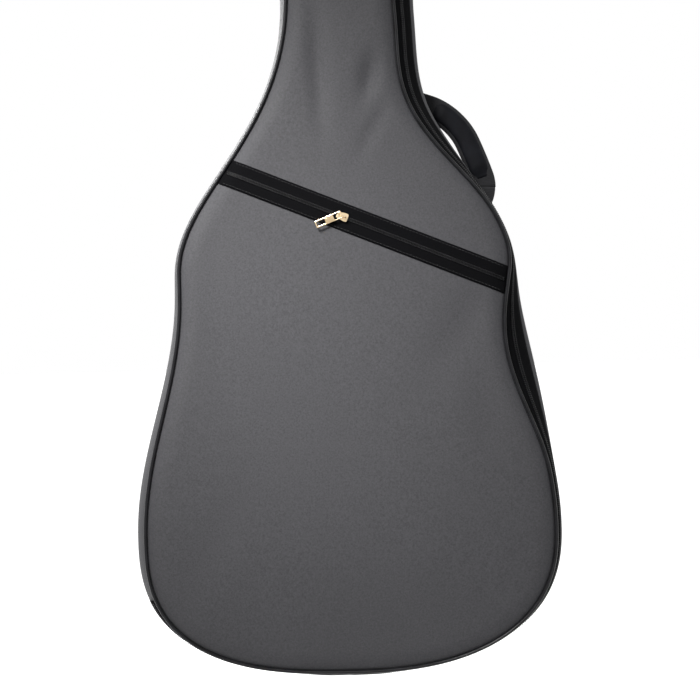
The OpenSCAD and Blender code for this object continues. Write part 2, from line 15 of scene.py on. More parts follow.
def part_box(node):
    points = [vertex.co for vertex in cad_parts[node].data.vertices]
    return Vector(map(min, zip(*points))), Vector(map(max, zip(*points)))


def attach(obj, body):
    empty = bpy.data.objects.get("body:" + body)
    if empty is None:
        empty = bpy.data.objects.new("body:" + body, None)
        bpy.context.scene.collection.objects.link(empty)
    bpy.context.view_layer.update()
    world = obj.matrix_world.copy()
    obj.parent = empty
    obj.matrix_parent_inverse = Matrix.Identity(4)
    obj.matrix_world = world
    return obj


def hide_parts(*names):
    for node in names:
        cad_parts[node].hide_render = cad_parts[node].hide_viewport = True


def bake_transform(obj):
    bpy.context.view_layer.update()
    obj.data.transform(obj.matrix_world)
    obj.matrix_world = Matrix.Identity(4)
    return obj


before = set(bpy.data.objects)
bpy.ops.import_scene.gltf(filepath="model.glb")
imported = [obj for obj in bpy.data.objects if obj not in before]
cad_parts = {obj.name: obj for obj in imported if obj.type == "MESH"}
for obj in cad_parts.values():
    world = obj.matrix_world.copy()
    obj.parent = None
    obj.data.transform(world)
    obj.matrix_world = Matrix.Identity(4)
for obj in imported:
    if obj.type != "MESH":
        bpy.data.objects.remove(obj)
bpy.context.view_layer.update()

# ---- The bag's own sizes, in millimetres, as in the CAD ------------------------------

LOWER_BOUT_W, LOWER_BOUT_Z = 421, 142
UPPER_BOUT_W, FLANK_TOP_Z, SHOULDER_Z = 341, 388, 411
NECK_W, NECK_Z, FLARE_Z = 109, 700, 860
HEAD_W, HEAD_Z, BAG_H = 164, 985, 1064
SHOULDER_FULLNESS, NECK_BLEND = 84, 150
WAIST_IN, NECK_IN, WAIST_OUT, NECK_OUT = 12.5, 14, 7, 15
HALF_D = 60
ZIP_DEPTH = 27
FOLD_BASE_X, FOLD_TOP_X = -170, 26
ZIP_END_Z, ZIP_END_X = 78, -36
POCKET_Z, POCKET_ANGLE, POCKET_TAPE_W = 466, math.radians(22.3), 28
SLIDER_AT = -2
HANDLE_Y = 14

FRONT_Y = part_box("pocket_panel")[0][1]
BACK_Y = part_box("back_panel")[1][1]
BASE_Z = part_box("gusset_zip_fabric")[0][2]
ORIGIN = np.array([0, (FRONT_Y + BACK_Y) / 2, BASE_Z])


def placed(points):
    """Bag millimetres to the frame's metres."""
    return np.asarray(points, float) * 0.001 + ORIGIN


# ---- Outline -------------------------------------------------------------------------

def ease(f):
    return (1 - np.cos(np.pi * np.clip(f, 0, 1))) / 2


def bump(z, middle, half, size):
    return np.where(abs(z - middle) < half, size * np.cos(np.pi / 2 * (z - middle) / half) ** 2, 0)


def ramp(z, start, end):
    return ease((z - start) / (end - start))


def roll_in(z):
    return bump(z, 322, 125, WAIST_IN) + bump(z, 572, 105, NECK_IN)


def roll_out(z):
    return bump(z, 318, 130, WAIST_OUT) + NECK_OUT * ramp(z, 560, 680) * ramp(z, HEAD_Z, FLARE_Z)


def corner(w, h, n, f):
    """A quarter of a superellipse, from its end on the X axis to its end on the Z axis."""
    a = np.pi / 2 * f
    return np.stack([w * np.cos(a).clip(0) ** (2 / n), h * np.sin(a).clip(0) ** (2 / n)], 1)


def shoulder(t):
    a = np.array([UPPER_BOUT_W / 2, SHOULDER_Z])
    b = np.array([UPPER_BOUT_W / 2, SHOULDER_Z + SHOULDER_FULLNESS])
    c = np.array([NECK_W / 2, NECK_Z - NECK_BLEND])
    d = np.array([NECK_W / 2, NECK_Z])
    t = np.atleast_1d(t)[:, None]
    return a * (1 - t) ** 3 + 3 * b * t * (1 - t) ** 2 + 3 * c * t * t * (1 - t) + d * t ** 3


def side(base_n, front, zip_side, steps=90):
    """Half-widths and heights from the base to the top, on one side of the bag."""
    f = np.linspace(0, 1, steps)
    base = corner(LOWER_BOUT_W / 2, LOWER_BOUT_Z, base_n, 1 - f)
    base[:, 1] = LOWER_BOUT_Z - base[:, 1]
    flank = np.stack([(LOWER_BOUT_W + (UPPER_BOUT_W - LOWER_BOUT_W) * ease(f)) / 2,
                      LOWER_BOUT_Z + (FLANK_TOP_Z - LOWER_BOUT_Z) * f], 1)[1:]
    flare = np.stack([(NECK_W + (HEAD_W - NECK_W) * ease(f)) / 2,
                      FLARE_Z + (HEAD_Z - FLARE_Z) * f], 1)
    neck = np.stack([np.full(steps, NECK_W / 2), NECK_Z + (FLARE_Z - NECK_Z) * f], 1)[1:-1]
    middle = np.concatenate([flank, shoulder(f), neck, flare])
    if zip_side:
        z = middle[:, 1]
        middle[:, 0] += -roll_in(z) if front else roll_out(z)
    top = corner(HEAD_W / 2, BAG_H - HEAD_Z, 2.5, f)[1:]
    top[:, 1] += HEAD_Z
    return np.concatenate([base, middle, top])


def closed_outline(front):
    right = side(2.4, front, True)
    left = side(2.75, front, False)[::-1][1:-1] * [-1, 1]
    return np.concatenate([right, left])


def lengths(line, closed):
    ring = np.concatenate([line, line[:1]]) if closed else line
    return np.concatenate([[0], np.cumsum(np.linalg.norm(np.diff(ring, axis=0), axis=1))])


def resampled(lines, step, closed=True):
    """Rows of points that share their parameter, re-spaced along the first one."""
    s = lengths(lines[0], closed)
    count = int(round(s[-1] / step))
    t = np.linspace(0, s[-1], count + (0 if closed else 1), endpoint=not closed)
    out = []
    for line in lines:
        ring = np.concatenate([line, line[:1]]) if closed else line
        out.append(np.stack([np.interp(t, s, ring[:, k]) for k in range(line.shape[1])], 1))
    return out


def normals(line, closed=True):
    """Unit vectors to the right of the way the row runs: outward on a closed outline."""
    if closed:
        d = np.roll(line, -1, 0) - np.roll(line, 1, 0)
    else:
        d = np.gradient(line, axis=0)
    d = d / np.linalg.norm(d, axis=1)[:, None]
    return np.stack([d[:, 1], -d[:, 0]], 1)


# How far from the bag's middle the side wall meets the piping, and how far it swells out
EDGE_Y = 55.0
WALL_BULGE, LOWER_BULGE, FOLD_SIDE_BULGE = 7.5, 3.5, 0.8


class Wall:
    """The side wall as a soft surface: a point for each place along the outline and each depth."""

    def __init__(self, step):
        wall, panel = resampled([closed_outline(False), closed_outline(True)], step)
        self.wall, self.panel = wall, panel
        self.out = normals(wall)
        self.s = lengths(wall, True)[:-1]
        x, z = wall[:, 0], wall[:, 1]
        lower = LOWER_BULGE * bump(z, 170, 260, 1)
        fold_side = ease((30 - x) / 60) * (1.5 * bump(z, 190, 260, 1) + FOLD_SIDE_BULGE)
        wave = 0.5 * np.sin(self.s / 61) + 0.4 * np.sin(self.s / 37 + 1.3)
        self.bulge = WALL_BULGE + lower + fold_side + wave
        flat_head = 0.9 * ramp(z, 1015, 1058)
        self.bulge *= 1 - flat_head
        base_corners = 5.0 * (1 - ramp(z, 0, 80)) * ramp(abs(x), 20, 85)
        self.bulge -= base_corners

    def at(self, index, y, lift=0.0):
        """Points at depth y, lift millimetres proud of the cloth."""
        f = np.clip((y + EDGE_Y) / (ZIP_DEPTH + 2), 0, 1)
        flat = self.panel[index] + (self.wall[index] - self.panel[index]) * f
        swell = self.bulge[index] * (1 - min(abs(y) / EDGE_Y, 1) ** 2.6)
        xz = flat + self.out[index] * (swell + lift)[:, None]
        return np.stack([xz[:, 0], np.full(len(index), y), xz[:, 1]], 1)


WALL = Wall(4.5)


# A place on the fold side, as a share of the outline's points, that the main zip never reaches
FOLD_SIDE_SHARE = 0.62


def zip_indices(wall, past_end=0):
    """The stretch of the outline that the main zip runs along, in order."""
    x, z = wall.wall[:, 0], wall.wall[:, 1]
    base_end = (z < BAG_H / 2) & (z < ZIP_END_Z + past_end)
    top_end = (z > BAG_H / 2) & (x > ZIP_END_X - past_end)
    zipped = (x > 0) | base_end | top_end
    order = np.roll(np.arange(len(x)), -int(len(x) * FOLD_SIDE_SHARE))
    return order[zipped[order]]


def fold_side_indices(wall):
    """The rest of the outline, with one point more at each end."""
    zipped = set(zip_indices(wall).tolist())
    order = np.arange(len(wall.wall))
    rest = [i for i in order if i not in zipped]
    return np.array([rest[0] - 1] + rest + [(rest[-1] + 1) % len(order)])


# The front bends over a short stretch across the fold line, and its cloth has rows of points
# along that stretch
FOLD_DIR = np.array([FOLD_TOP_X - FOLD_BASE_X, BAG_H]) / math.hypot(FOLD_TOP_X - FOLD_BASE_X, BAG_H)
FOLD_ACROSS = np.array([FOLD_DIR[1], -FOLD_DIR[0]])
FOLD_FROM, FOLD_TO = -4.0, 14.0
FOLD_AT = np.array([FOLD_BASE_X, 0])


def past_fold(points):
    """How far points are past the fold line, in millimetres."""
    return (np.asarray(points) - FOLD_AT) @ FOLD_ACROSS


def outside_bend(points, margin):
    u = past_fold(points)
    return (u < FOLD_FROM - margin) | (u > FOLD_TO + margin)


BEND_POINTS = np.concatenate([
    FOLD_AT + FOLD_ACROSS * u + np.outer(np.arange(-10, BAG_H + 40, 5.0) + 2.5 * (k % 2), FOLD_DIR)
    for k, u in enumerate(np.linspace(FOLD_FROM, FOLD_TO, 10))])


# ---- Mesh helpers --------------------------------------------------------------------

def piece(name, verts, faces, uvs=None, smooth=True):
    """A mesh object from points in bag millimetres."""
    mesh = bpy.data.meshes.new(name)
    mesh.from_pydata([tuple(v) for v in placed(verts)], [], [tuple(int(i) for i in f) for f in faces])
    mesh.update()
    if uvs is not None:
        layer = mesh.uv_layers.new(name="UVMap")
        for loop in mesh.loops:
            layer.data[loop.index].uv = uvs[loop.vertex_index]
    bm = bmesh.new()
    bm.from_mesh(mesh)
    bmesh.ops.recalc_face_normals(bm, faces=bm.faces)
    bm.to_mesh(mesh)
    bm.free()
    for p in mesh.polygons:
        p.use_smooth = smooth
    obj = bpy.data.objects.new(name, mesh)
    bpy.context.scene.collection.objects.link(obj)
    return obj


def loft(name, rows, closed_path=False, smooth=True):
    """A closed tube through rows of points, one closed section for each place along the path."""
    rows = np.asarray(rows, float)
    n, m = rows.shape[:2]
    verts = rows.reshape(-1, 3)
    faces = []
    for i in range(n if closed_path else n - 1):
        for j in range(m):
            a, b = i * m + j, i * m + (j + 1) % m
            c, d = ((i + 1) % n) * m + (j + 1) % m, ((i + 1) % n) * m + j
            faces.append((a, b, c, d))
    if not closed_path:
        faces += [tuple(range(m))[::-1], tuple((n - 1) * m + j for j in range(m))]
    along = np.concatenate([[0], np.cumsum(np.linalg.norm(np.diff(rows.mean(1), axis=0), axis=1))]) * 0.001
    across = np.concatenate([[0], np.cumsum(np.linalg.norm(np.diff(rows[0], axis=0), axis=1))]) * 0.001
    uvs = [(along[i], across[j]) for i in range(n) for j in range(m)]
    return piece(name, verts, faces, uvs, smooth)


def merged(name, objects):
    """Joins several meshes into one piece."""
    bm = bmesh.new()
    for obj in objects:
        bm.from_mesh(obj.data)
        bpy.data.objects.remove(obj, do_unlink=True)
    mesh = bpy.data.meshes.new(name)
    bm.to_mesh(mesh)
    bm.free()
    out = bpy.data.objects.new(name, mesh)
    bpy.context.scene.collection.objects.link(out)
    return out


def wall_band(name, index, section):
    """A band round the side wall. The section is a closed list of (depth, lift)."""
    return loft(name, np.stack([WALL.at(index, y, lift) for y, lift in section], 1))


def band_section(y0, y1, outer, inner, steps):
    """A flat band's section with rounded edges, from depth y0 to y1 and lift inner to outer."""
    ys = np.linspace(y0, y1, steps)[1:-1]
    cut = min(0.6, (outer - inner) / 2) * 0.3
    top = [(y0 + cut, outer - cut)] + [(y, outer) for y in ys] + [(y1 - cut, outer - cut)]
    back = [(y1, inner + cut)] + [(y, inner) for y in ys[::-1]] + [(y0, inner + cut)]
    return top + back


def distance_to(points, line):
    """Distance from each point to a closed line."""
    a, b = line, np.roll(line, -1, 0)
    ab = b - a
    best = np.full(len(points), 1e9)
    for k in range(0, len(points), 2000):
        p = points[k:k + 2000, None, :]
        t = np.clip(((p - a) * ab).sum(2) / (ab ** 2).sum(1), 0, 1)
        best[k:k + 2000] = np.linalg.norm(p - (a + ab * t[..., None]), axis=2).min(1)
    return best


def inside(points, line):
    """Which points lie inside a closed line."""
    x, z = points[:, 0][:, None], points[:, 1][:, None]
    a, b = line, np.roll(line, -1, 0)
    crosses = ((a[:, 1] > z) != (b[:, 1] > z)) & (
        x < (b[:, 0] - a[:, 0]) * (z - a[:, 1]) / (b[:, 1] - a[:, 1] + 1e-12) + a[:, 0])
    return crosses.sum(1) % 2 == 1


def clipped(line, height):
    """The part of a closed line where height(points) is positive, with the cuts added."""
    h = height(line)
    out = []
    for i in range(len(line)):
        j = (i + 1) % len(line)
        if h[i] > 0:
            out.append(line[i])
        if h[i] * h[j] < 0:
            out.append(line[i] + (line[j] - line[i]) * h[i] / (h[i] - h[j]))
    return np.array(out)


def densified(line, step):
    """A closed line with its long stretches cut into steps."""
    out = []
    for i in range(len(line)):
        a, b = line[i], line[(i + 1) % len(line)]
        n = max(1, int(np.ceil(np.linalg.norm(b - a) / step)))
        out += [a + (b - a) * k / n for k in range(n)]
    return np.array(out)


# A panel's rings of points near its edge, by their distance from it
PANEL_INSETS = (1.5, 3.2, 5.2, 7.6, 10.5, 14, 18, 23)


def panel(name, edge, full, outer, inner, spacing=8.0, bends=False):
    """A soft closed panel inside a closed edge. full is the whole panel's line, and outer and
    inner give the depths of its two faces at each point."""
    inward = -normals(full)
    rings = [full + inward * d for d in PANEL_INSETS]
    lo, hi = edge.min(0), edge.max(0)
    gx, gz = np.meshgrid(np.arange(lo[0], hi[0], spacing), np.arange(lo[1], hi[1], spacing))
    gx[::2] += spacing / 2
    grid = np.stack([gx.ravel(), gz.ravel()], 1)
    grid = grid[inside(grid, full)]
    grid = grid[distance_to(grid, full) > PANEL_INSETS[-1] + 4]
    if bends:
        grid = grid[outside_bend(grid, spacing / 2)]
        rings = [ring[outside_bend(ring, 1.0)] for ring in rings] + [BEND_POINTS]
    free = np.concatenate(rings + [grid])
    free = free[inside(free, edge)]
    free = free[distance_to(free, edge) > 1.1]
    points = np.concatenate([edge, free])
    n = len(edge)
    found = delaunay_2d_cdt([Vector(p) for p in points], [], [list(range(n))], 1, 1e-4)
    flat, tris = np.array([tuple(v) for v in found[0]]), found[2]
    count = len(flat)
    d = distance_to(flat, full)
    front = np.stack([flat[:, 0], outer(flat, d), flat[:, 1]], 1)
    back = np.stack([flat[:, 0], inner(flat, d), flat[:, 1]], 1)
    edges = {}
    for t in tris:
        for k in range(3):
            a, b = t[k], t[(k + 1) % 3]
            edges[(a, b)] = edges.get((a, b), 0) + 1
    rim = [e for e in edges if (e[1], e[0]) not in edges]
    faces = [tuple(t) for t in tris] + [tuple(i + count for i in t[::-1]) for t in tris]
    faces += [(b, a, a + count, b + count) for a, b in rim]
    uvs = [(p[0] * 0.001, p[1] * 0.001) for p in flat] * 2
    return piece(name, np.concatenate([front, back]), faces, uvs)


# ---- Materials -----------------------------------------------------------------------

class Nodes:
    """A material and the nodes that feed its shader."""

    def __init__(self, name):
        self.material = bpy.data.materials.new(name)
        self.material.use_nodes = True
        self.tree = self.material.node_tree
        self.shader = self.tree.nodes["Principled BSDF"]

    def add(self, kind, **values):
        node = self.tree.nodes.new(kind)
        for key, value in values.items():
            if key.startswith("in_"):
                node.inputs[int(key[3:])].default_value = value
            else:
                setattr(node, key, value)
        return node

    def link(self, a, out, b, socket):
        self.tree.links.new(a.outputs[out], b.inputs[socket])

    def mapped(self, coords, turn=0.0):
        mapping = self.add("ShaderNodeMapping")
        mapping.inputs["Rotation"].default_value = (0, turn, 0)
        source = self.add("ShaderNodeTexCoord")
        self.link(source, coords, mapping, "Vector")
        return mapping

    def noise(self, coords, scale, detail=2.0):
        node = self.add("ShaderNodeTexNoise")
        node.inputs["Scale"].default_value = scale
        node.inputs["Detail"].default_value = detail
        self.link(self.mapped(coords), 0, node, "Vector")
        return node

    def wave(self, coords, scale, direction, turn=0.0):
        node = self.add("ShaderNodeTexWave", bands_direction=direction)
        node.inputs["Scale"].default_value = scale
        self.link(self.mapped(coords, turn), 0, node, "Vector")
        return node

    def math(self, operation, a, b, out_a=0, out_b=0):
        node = self.add("ShaderNodeMath", operation=operation)
        for k, (value, out) in enumerate(((a, out_a), (b, out_b))):
            if isinstance(value, (int, float)):
                node.inputs[k].default_value = value
            else:
                self.link(value, out, node, k)
        return node

    def colour(self, factor, out, dark, light, low=0.3, high=0.7):
        node = self.add("ShaderNodeValToRGB")
        node.color_ramp.elements[0].position = low
        node.color_ramp.elements[0].color = (*dark, 1)
        node.color_ramp.elements[1].position = high
        node.color_ramp.elements[1].color = (*light, 1)
        self.link(factor, out, node, 0)
        self.link(node, 0, self.shader, "Base Color")
        return node

    def rough(self, factor, out, low, high):
        node = self.add("ShaderNodeMapRange")
        node.inputs["To Min"].default_value = low
        node.inputs["To Max"].default_value = high
        self.link(factor, out, node, 0)
        self.link(node, 0, self.shader, "Roughness")

    def bump(self, height, out, strength, distance):
        node = self.add("ShaderNodeBump")
        node.inputs["Strength"].default_value = strength
        node.inputs["Distance"].default_value = distance
        self.link(height, out, node, "Height")
        self.link(node, 0, self.shader, "Normal")

    def set(self, **values):
        for key, value in values.items():
            self.shader.inputs[key.replace("_", " ")].default_value = value
        return self.material


def woven(name, dark, light, pitch, sheen, coords="Object", strength=0.35, low=0.6, high=0.8, gloss=0.25):
    """A plain weave of warp and weft threads, with slow changes of shade along the cloth."""
    n = Nodes(name)
    scale = 1 / pitch / 2.0
    if coords == "Object":
        warp = n.wave(coords, scale, "X", turn=math.radians(2))
        weft = n.wave(coords, scale, "Z", turn=math.radians(2))
    else:
        warp = n.wave(coords, scale, "X")
        weft = n.wave(coords, scale, "Y")
    threads = n.math("MULTIPLY", warp, weft, 1, 1)
    slow = n.noise(coords, 9, 2)
    slubs = n.noise(coords, 520, 2)
    fine = n.noise(coords, 900, 1)
    shade = n.math("ADD", n.math("MULTIPLY", slow, 0.12), n.math("MULTIPLY", fine, 0.25))
    shade = n.math("ADD", shade, n.math("MULTIPLY", slubs, 0.4))
    shade = n.math("ADD", shade, n.math("MULTIPLY", threads, 0.3))
    n.colour(shade, 0, dark, light, 0.3, 0.62)
    n.rough(slow, 0, low, high)
    n.bump(threads, 0, strength, 0.00025)
    return n.set(Sheen_Weight=sheen, Sheen_Roughness=0.5, Specular_IOR_Level=gloss)


def ribbed(name, dark, light, pitch, strength=0.6):
    """Webbing: ribs across its length and a fine weave along it, by its own length and width."""
    n = Nodes(name)
    ribs = n.wave("UV", 1 / pitch / 2.0, "X")
    cords = n.wave("UV", 1 / 0.0016 / 2.0, "Y")
    height = n.math("ADD", n.math("MULTIPLY", ribs, 0.6, 1), n.math("MULTIPLY", cords, 0.4, 1))
    fuzz = n.noise("Object", 600, 2)
    shade = n.math("ADD", n.math("MULTIPLY", height, 0.5), n.math("MULTIPLY", fuzz, 0.5))
    n.colour(shade, 0, dark, light, 0.25, 0.8)
    n.rough(fuzz, 0, 0.7, 0.92)
    n.bump(height, 0, strength, 0.0004)
    return n.set(Sheen_Weight=0.12, Sheen_Roughness=0.5, Specular_IOR_Level=0.18)


def grained(name, dark, light, low, high, scale, strength, coat=0.0, metallic=0.0, gloss=0.4):
    """Vinyl, moulded plastic or plated metal: a fine grain with small changes of gloss."""
    n = Nodes(name)
    grain = n.noise("Object", scale, 3)
    patches = n.noise("Object", 60, 2)
    n.colour(patches, 0, dark, light)
    n.rough(patches, 0, low, high)
    n.bump(grain, 0, strength, 0.0001)
    return n.set(Metallic=metallic, Coat_Weight=coat, Coat_Roughness=0.25, Specular_IOR_Level=gloss)


# Each look is a material and the name of its slot
OXFORD = ((0.0120, 0.0119, 0.0134), (0.0292, 0.0289, 0.0320), 0.0011, 0.015)
GREY = woven("grey_oxford", *OXFORD), "grey_fabric"
GREY_SIDE = woven("grey_oxford_side", *OXFORD, coords="UV"), "grey_fabric"
TAPE = woven("zip_tape_weave", (0.0008, 0.0008, 0.0010), (0.0022, 0.0022, 0.0026), 0.0009, 0.0, "UV",
             strength=0.5, low=0.8, high=0.95, gloss=0.03), "zip_tape"
COIL = grained("zip_coil_nylon", (0.0022, 0.0022, 0.0025), (0.006, 0.006, 0.0068), 0.35, 0.5, 1800, 0.15,
               gloss=0.22), "black_plastic"
LINING = woven("lining_weave", (0.008, 0.008, 0.010), (0.022, 0.022, 0.026), 0.0016, 0.1,
               strength=0.2), "lining"
WEBBING = ribbed("webbing_ribs", (0.0015, 0.0015, 0.0020), (0.0065, 0.0065, 0.0080), 0.0022), "black_webbing"
VINYL = grained("vinyl_grain", (0.0022, 0.0022, 0.0026), (0.0055, 0.0055, 0.0065), 0.26, 0.42, 1500, 0.25,
                coat=0.03, gloss=0.16), "black_vinyl"
GRIP = grained("grip_grain", (0.0012, 0.0013, 0.0020), (0.0034, 0.0037, 0.0052), 0.6, 0.75, 1200, 0.4,
               gloss=0.08), "black_vinyl"
GOLD = grained("gold_plate", (0.58, 0.44, 0.27), (0.74, 0.59, 0.39), 0.18, 0.32, 900, 0.06,
               metallic=1.0), "gold_metal"
THREAD = ribbed("black_thread", (0.002, 0.002, 0.0024), (0.007, 0.007, 0.008), 0.0008, 0.4), "zip_tape"
LOCK_PLASTIC = grained("nylon_grain", (0.004, 0.004, 0.0045), (0.010, 0.010, 0.0115), 0.35, 0.5, 1800, 0.15,
                       gloss=0.3)


def finish(obj, look, replaces=(), body=None, blend=False):
    """Gives a piece its material, hides the CAD nodes it stands for, and puts it on its body, or with blend,
    bakes its place into its mesh.
    """
    material, slot = look
    obj.data.materials.clear()
    obj.data.materials.append(material)
    if replaces:
        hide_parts(*replaces)
    if blend:
        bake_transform(obj)
    else:
        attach(obj, body)
    return obj


# The two sides of the bend, 300 mm along the fold line from its base
FOLD_START, FOLD_END = (tuple(placed([x, 0, z])) for x, z in
                        (FOLD_AT + FOLD_DIR * 300 + FOLD_ACROSS * u for u in (FOLD_FROM, FOLD_TO)))


# ---- Front panel ---------------------------------------------------------------------

ROLL_R = 20.0
RIM_DROP = 6.5


def dome(d):
    """How far the cloth drops behind the flat of the panel, d millimetres from its edge."""
    t = np.clip(d / ROLL_R, 0, 1)
    return RIM_DROP * (1 - t) ** 2.1


def dent(p, x, z, wx, wz, depth, lean=0.0):
    """A hollow at (x, z), of half-widths wx and wz, leaning across as it rises."""
    u = (p[:, 0] - x) - lean * (p[:, 1] - z)
    v = p[:, 1] - z
    return depth * np.exp(-(u / wx) ** 2 - (v / wz) ** 2)


def ripples(p, d):
    """Soft hollows and waves of the front cloth, in millimetres behind the flat."""
    x, z = p[:, 0], p[:, 1]
    waves = 0.45 * np.sin(x / 47 + z / 83) + 0.35 * np.sin(z / 39 - x / 120 + 1.1)
    waves += 0.10 * np.sin(z / 4.1 + 0.6 * np.sin(x / 40)) * bump(z, 240, 70, 1)
    folds = (dent(p, -24, 625, 10, 60, 4.4, -0.04) + dent(p, 30, 612, 10, 24, 5.0, 0.2)
             + dent(p, 34, 560, 9, 34, 1.6, 0.5) + dent(p, -34, 735, 10, 60, 3.0, 0.08)
             + dent(p, 22, 800, 9, 70, 2.6, -0.06) + dent(p, 6, 915, 20, 34, 2.4)
             + dent(p, 118, 350, 24, 50, 2.2, 0.5) + dent(p, -130, 330, 20, 70, 1.6, -0.3)
             + dent(p, 140, 260, 16, 60, 1.6, -0.15) + dent(p, -150, 120, 26, 60, 1.5, 0.5))
    zip_line = POCKET_Z - x * math.tan(POCKET_ANGLE)
    near_zip = np.exp(-((z - zip_line) / 24) ** 2)
    return (waves * (1 - near_zip) + folds * (1 - near_zip)) * np.clip(d / 30, 0, 1)


def quilt(p, d):
    """The lining's soft squares, in millimetres."""
    return 0.5 * np.cos(p[:, 0] / 24) * np.cos(p[:, 1] / 24) * np.clip(d / 20, 0, 1)


def front_skin_y(p, d):
    return -HALF_D + dome(d) + ripples(p, d)


def pocket_height(p):
    """Height over the pocket zip's line, across it."""
    return (p[:, 1] - POCKET_Z) * math.cos(POCKET_ANGLE) + p[:, 0] * math.sin(POCKET_ANGLE)


# Half the slot in the cloth under the pocket zip, the cloth's thickness, its gap to the padding,
# and the depth of cloth, padding and lining together
SLOT_HALF = 6.0
SKIN_T = 0.9
FRONT_GAP, BACK_GAP = 0.6, 0.15
PADDED_T = 11
FRONT_LINE = WALL.panel
FRONT_EDGE = FRONT_LINE - normals(FRONT_LINE) * 0.5


def front_panels():
    upper = densified(clipped(FRONT_EDGE, lambda p: pocket_height(p) - SLOT_HALF), 6)
    lower = densified(clipped(FRONT_EDGE, lambda p: -SLOT_HALF - pocket_height(p)), 6)

    def back_of_skin(p, d):
        return front_skin_y(p, d) + SKIN_T

    upper_cloth = panel("front_upper_cloth", upper, FRONT_LINE, front_skin_y, back_of_skin, 5.0, bends=True)
    finish(upper_cloth, GREY, ("front_upper_panel", "fold_strip_upper"), blend=True)
    finish(panel("pocket_cloth", lower, FRONT_LINE, front_skin_y, back_of_skin, bends=True), GREY,
           ("pocket_panel", "fold_strip_lower"), blend=True)

    def core_front(p, d):
        return front_skin_y(p, d) + SKIN_T + FRONT_GAP

    def core_back(p, d):
        return -HALF_D + PADDED_T - 2.2 * (1 - np.clip(d / 9, 0, 1)) ** 2 + quilt(p, d)

    core_edge = FRONT_LINE - normals(FRONT_LINE) * 1.0
    padding = panel("front_padding", core_edge, FRONT_LINE, core_front, core_back, 12.0, bends=True)
    stands_for = ("pocket_backing", "flap_foam", "flap_lining", "fold_strip_foam", "fold_strip_lining")
    finish(padding, LINING, stands_for, blend=True)


PIPE_R = 1.75


def tube_round(name, centre, out, y, radius, sides=10):
    """A closed tube round the outline, at depth y."""
    rows = []
    for k in range(sides):
        a = 2 * math.pi * k / sides
        xz = centre + out * (radius * math.cos(a))
        rows.append(np.stack([xz[:, 0], np.full(len(xz), y + radius * math.sin(a)), xz[:, 1]], 1))
    return loft(name, np.stack(rows, 1), closed_path=True)


PIPE_LINES = resampled([closed_outline(False), closed_outline(True)], 3.0)


def piping(name, line, y, welt_y):
    """Round vinyl piping with its flat welt tucked into the seam."""
    out = normals(line)
    cord = tube_round(name + "_cord", line + out * 0.6, out, y, PIPE_R)
    inner, outer = line - out * 3.0, line + out * 0.2
    rows = []
    for xz, dy in ((inner, 0.0), (outer, 0.0), (outer, 0.8), (inner, 0.8)):
        rows.append(np.stack([xz[:, 0], np.full(len(xz), welt_y + dy), xz[:, 1]], 1))
    welt = loft(name + "_welt", np.stack(rows, 1), closed_path=True)
    return merged(name, [cord, welt])


def pipings():
    front = piping("front_piping", PIPE_LINES[1], -EDGE_Y - 0.6, -EDGE_Y + 0.4)
    finish(front, VINYL, ("flap_piping", "fold_strip_piping"), blend=True)
    rear = piping("rear_piping", PIPE_LINES[0], EDGE_Y + 0.6, EDGE_Y - 1.2)
    finish(rear, VINYL, ("back_piping",), body="bag")


# ---- Back panel and side wall --------------------------------------------------------

def back_panels():
    line = WALL.wall
    edge = line - normals(line) * 0.5

    def waves(p, d):
        x, z = p[:, 0], p[:, 1]
        soft = 0.5 * np.sin(x / 55 - z / 91) + 0.4 * np.sin(z / 46 + x / 160)
        folds = dent(p, -18, 700, 8, 60, 2.0, 0.05) + dent(p, 24, 820, 9, 60, 1.8, -0.05)
        return (soft + folds) * np.clip(d / 30, 0, 1)

    def skin(p, d):
        return HALF_D - dome(d) - waves(p, d)

    cloth = panel("back_cloth", edge, line, skin, lambda p, d: skin(p, d) - SKIN_T)
    finish(cloth, GREY, ("back_panel",), body="bag")

    def outer(p, d):
        return skin(p, d) - SKIN_T - BACK_GAP

    def inner(p, d):
        return HALF_D - PADDED_T + quilt(p, d)

    padding = panel("back_padding", line - normals(line) * 1.0, line, outer, inner, 12.0)
    finish(padding, LINING, ("back_foam", "back_lining"), body="bag")


# Lifts of the wall's padding: under the cloth and at the lining. Depths between the front's and
# the back's padding
PADDING_OUT, PADDING_IN = -1.15, -8
PADDING_FRONT, PADDING_BACK = -HALF_D + 11.4, HALF_D - 11.3
CLOTH_END = EDGE_Y - 0.6


def side_walls():
    fold = fold_side_indices(WALL)
    zipped = zip_indices(WALL)
    rear = ZIP_DEPTH - HALF_D + 1
    for name, index, start, steps in (("fold", fold, -CLOTH_END, 17), ("zip", zipped, rear - 2, 14)):
        cloth = wall_band("side_cloth_" + name, index, band_section(start, CLOTH_END, 0, -1, steps))
        finish(cloth, GREY_SIDE, ("gusset_" + name + "_fabric",), body="bag")
    for name, index, start, steps in (("fold", fold, PADDING_FRONT, 11), ("zip", zipped, rear, 9)):
        section = band_section(start, PADDING_BACK, PADDING_OUT, PADDING_IN, steps)
        finish(wall_band("side_padding_" + name, index, section), LINING,
               ("gusset_" + name + "_foam", "gusset_" + name + "_lining"), body="bag")


# ---- Main zip ------------------------------------------------------------------------

ZIP_MID_Y = -HALF_D + 1 + ZIP_DEPTH / 2
ZIP_GAP = 0.15
TAPE_T = 0.7
COIL_PITCH = 2.0
FINE = Wall(COIL_PITCH)


def tangents(points):
    """Unit vectors along an open row of points."""
    along = np.gradient(points, axis=0)
    return along / np.linalg.norm(along, axis=1)[:, None]


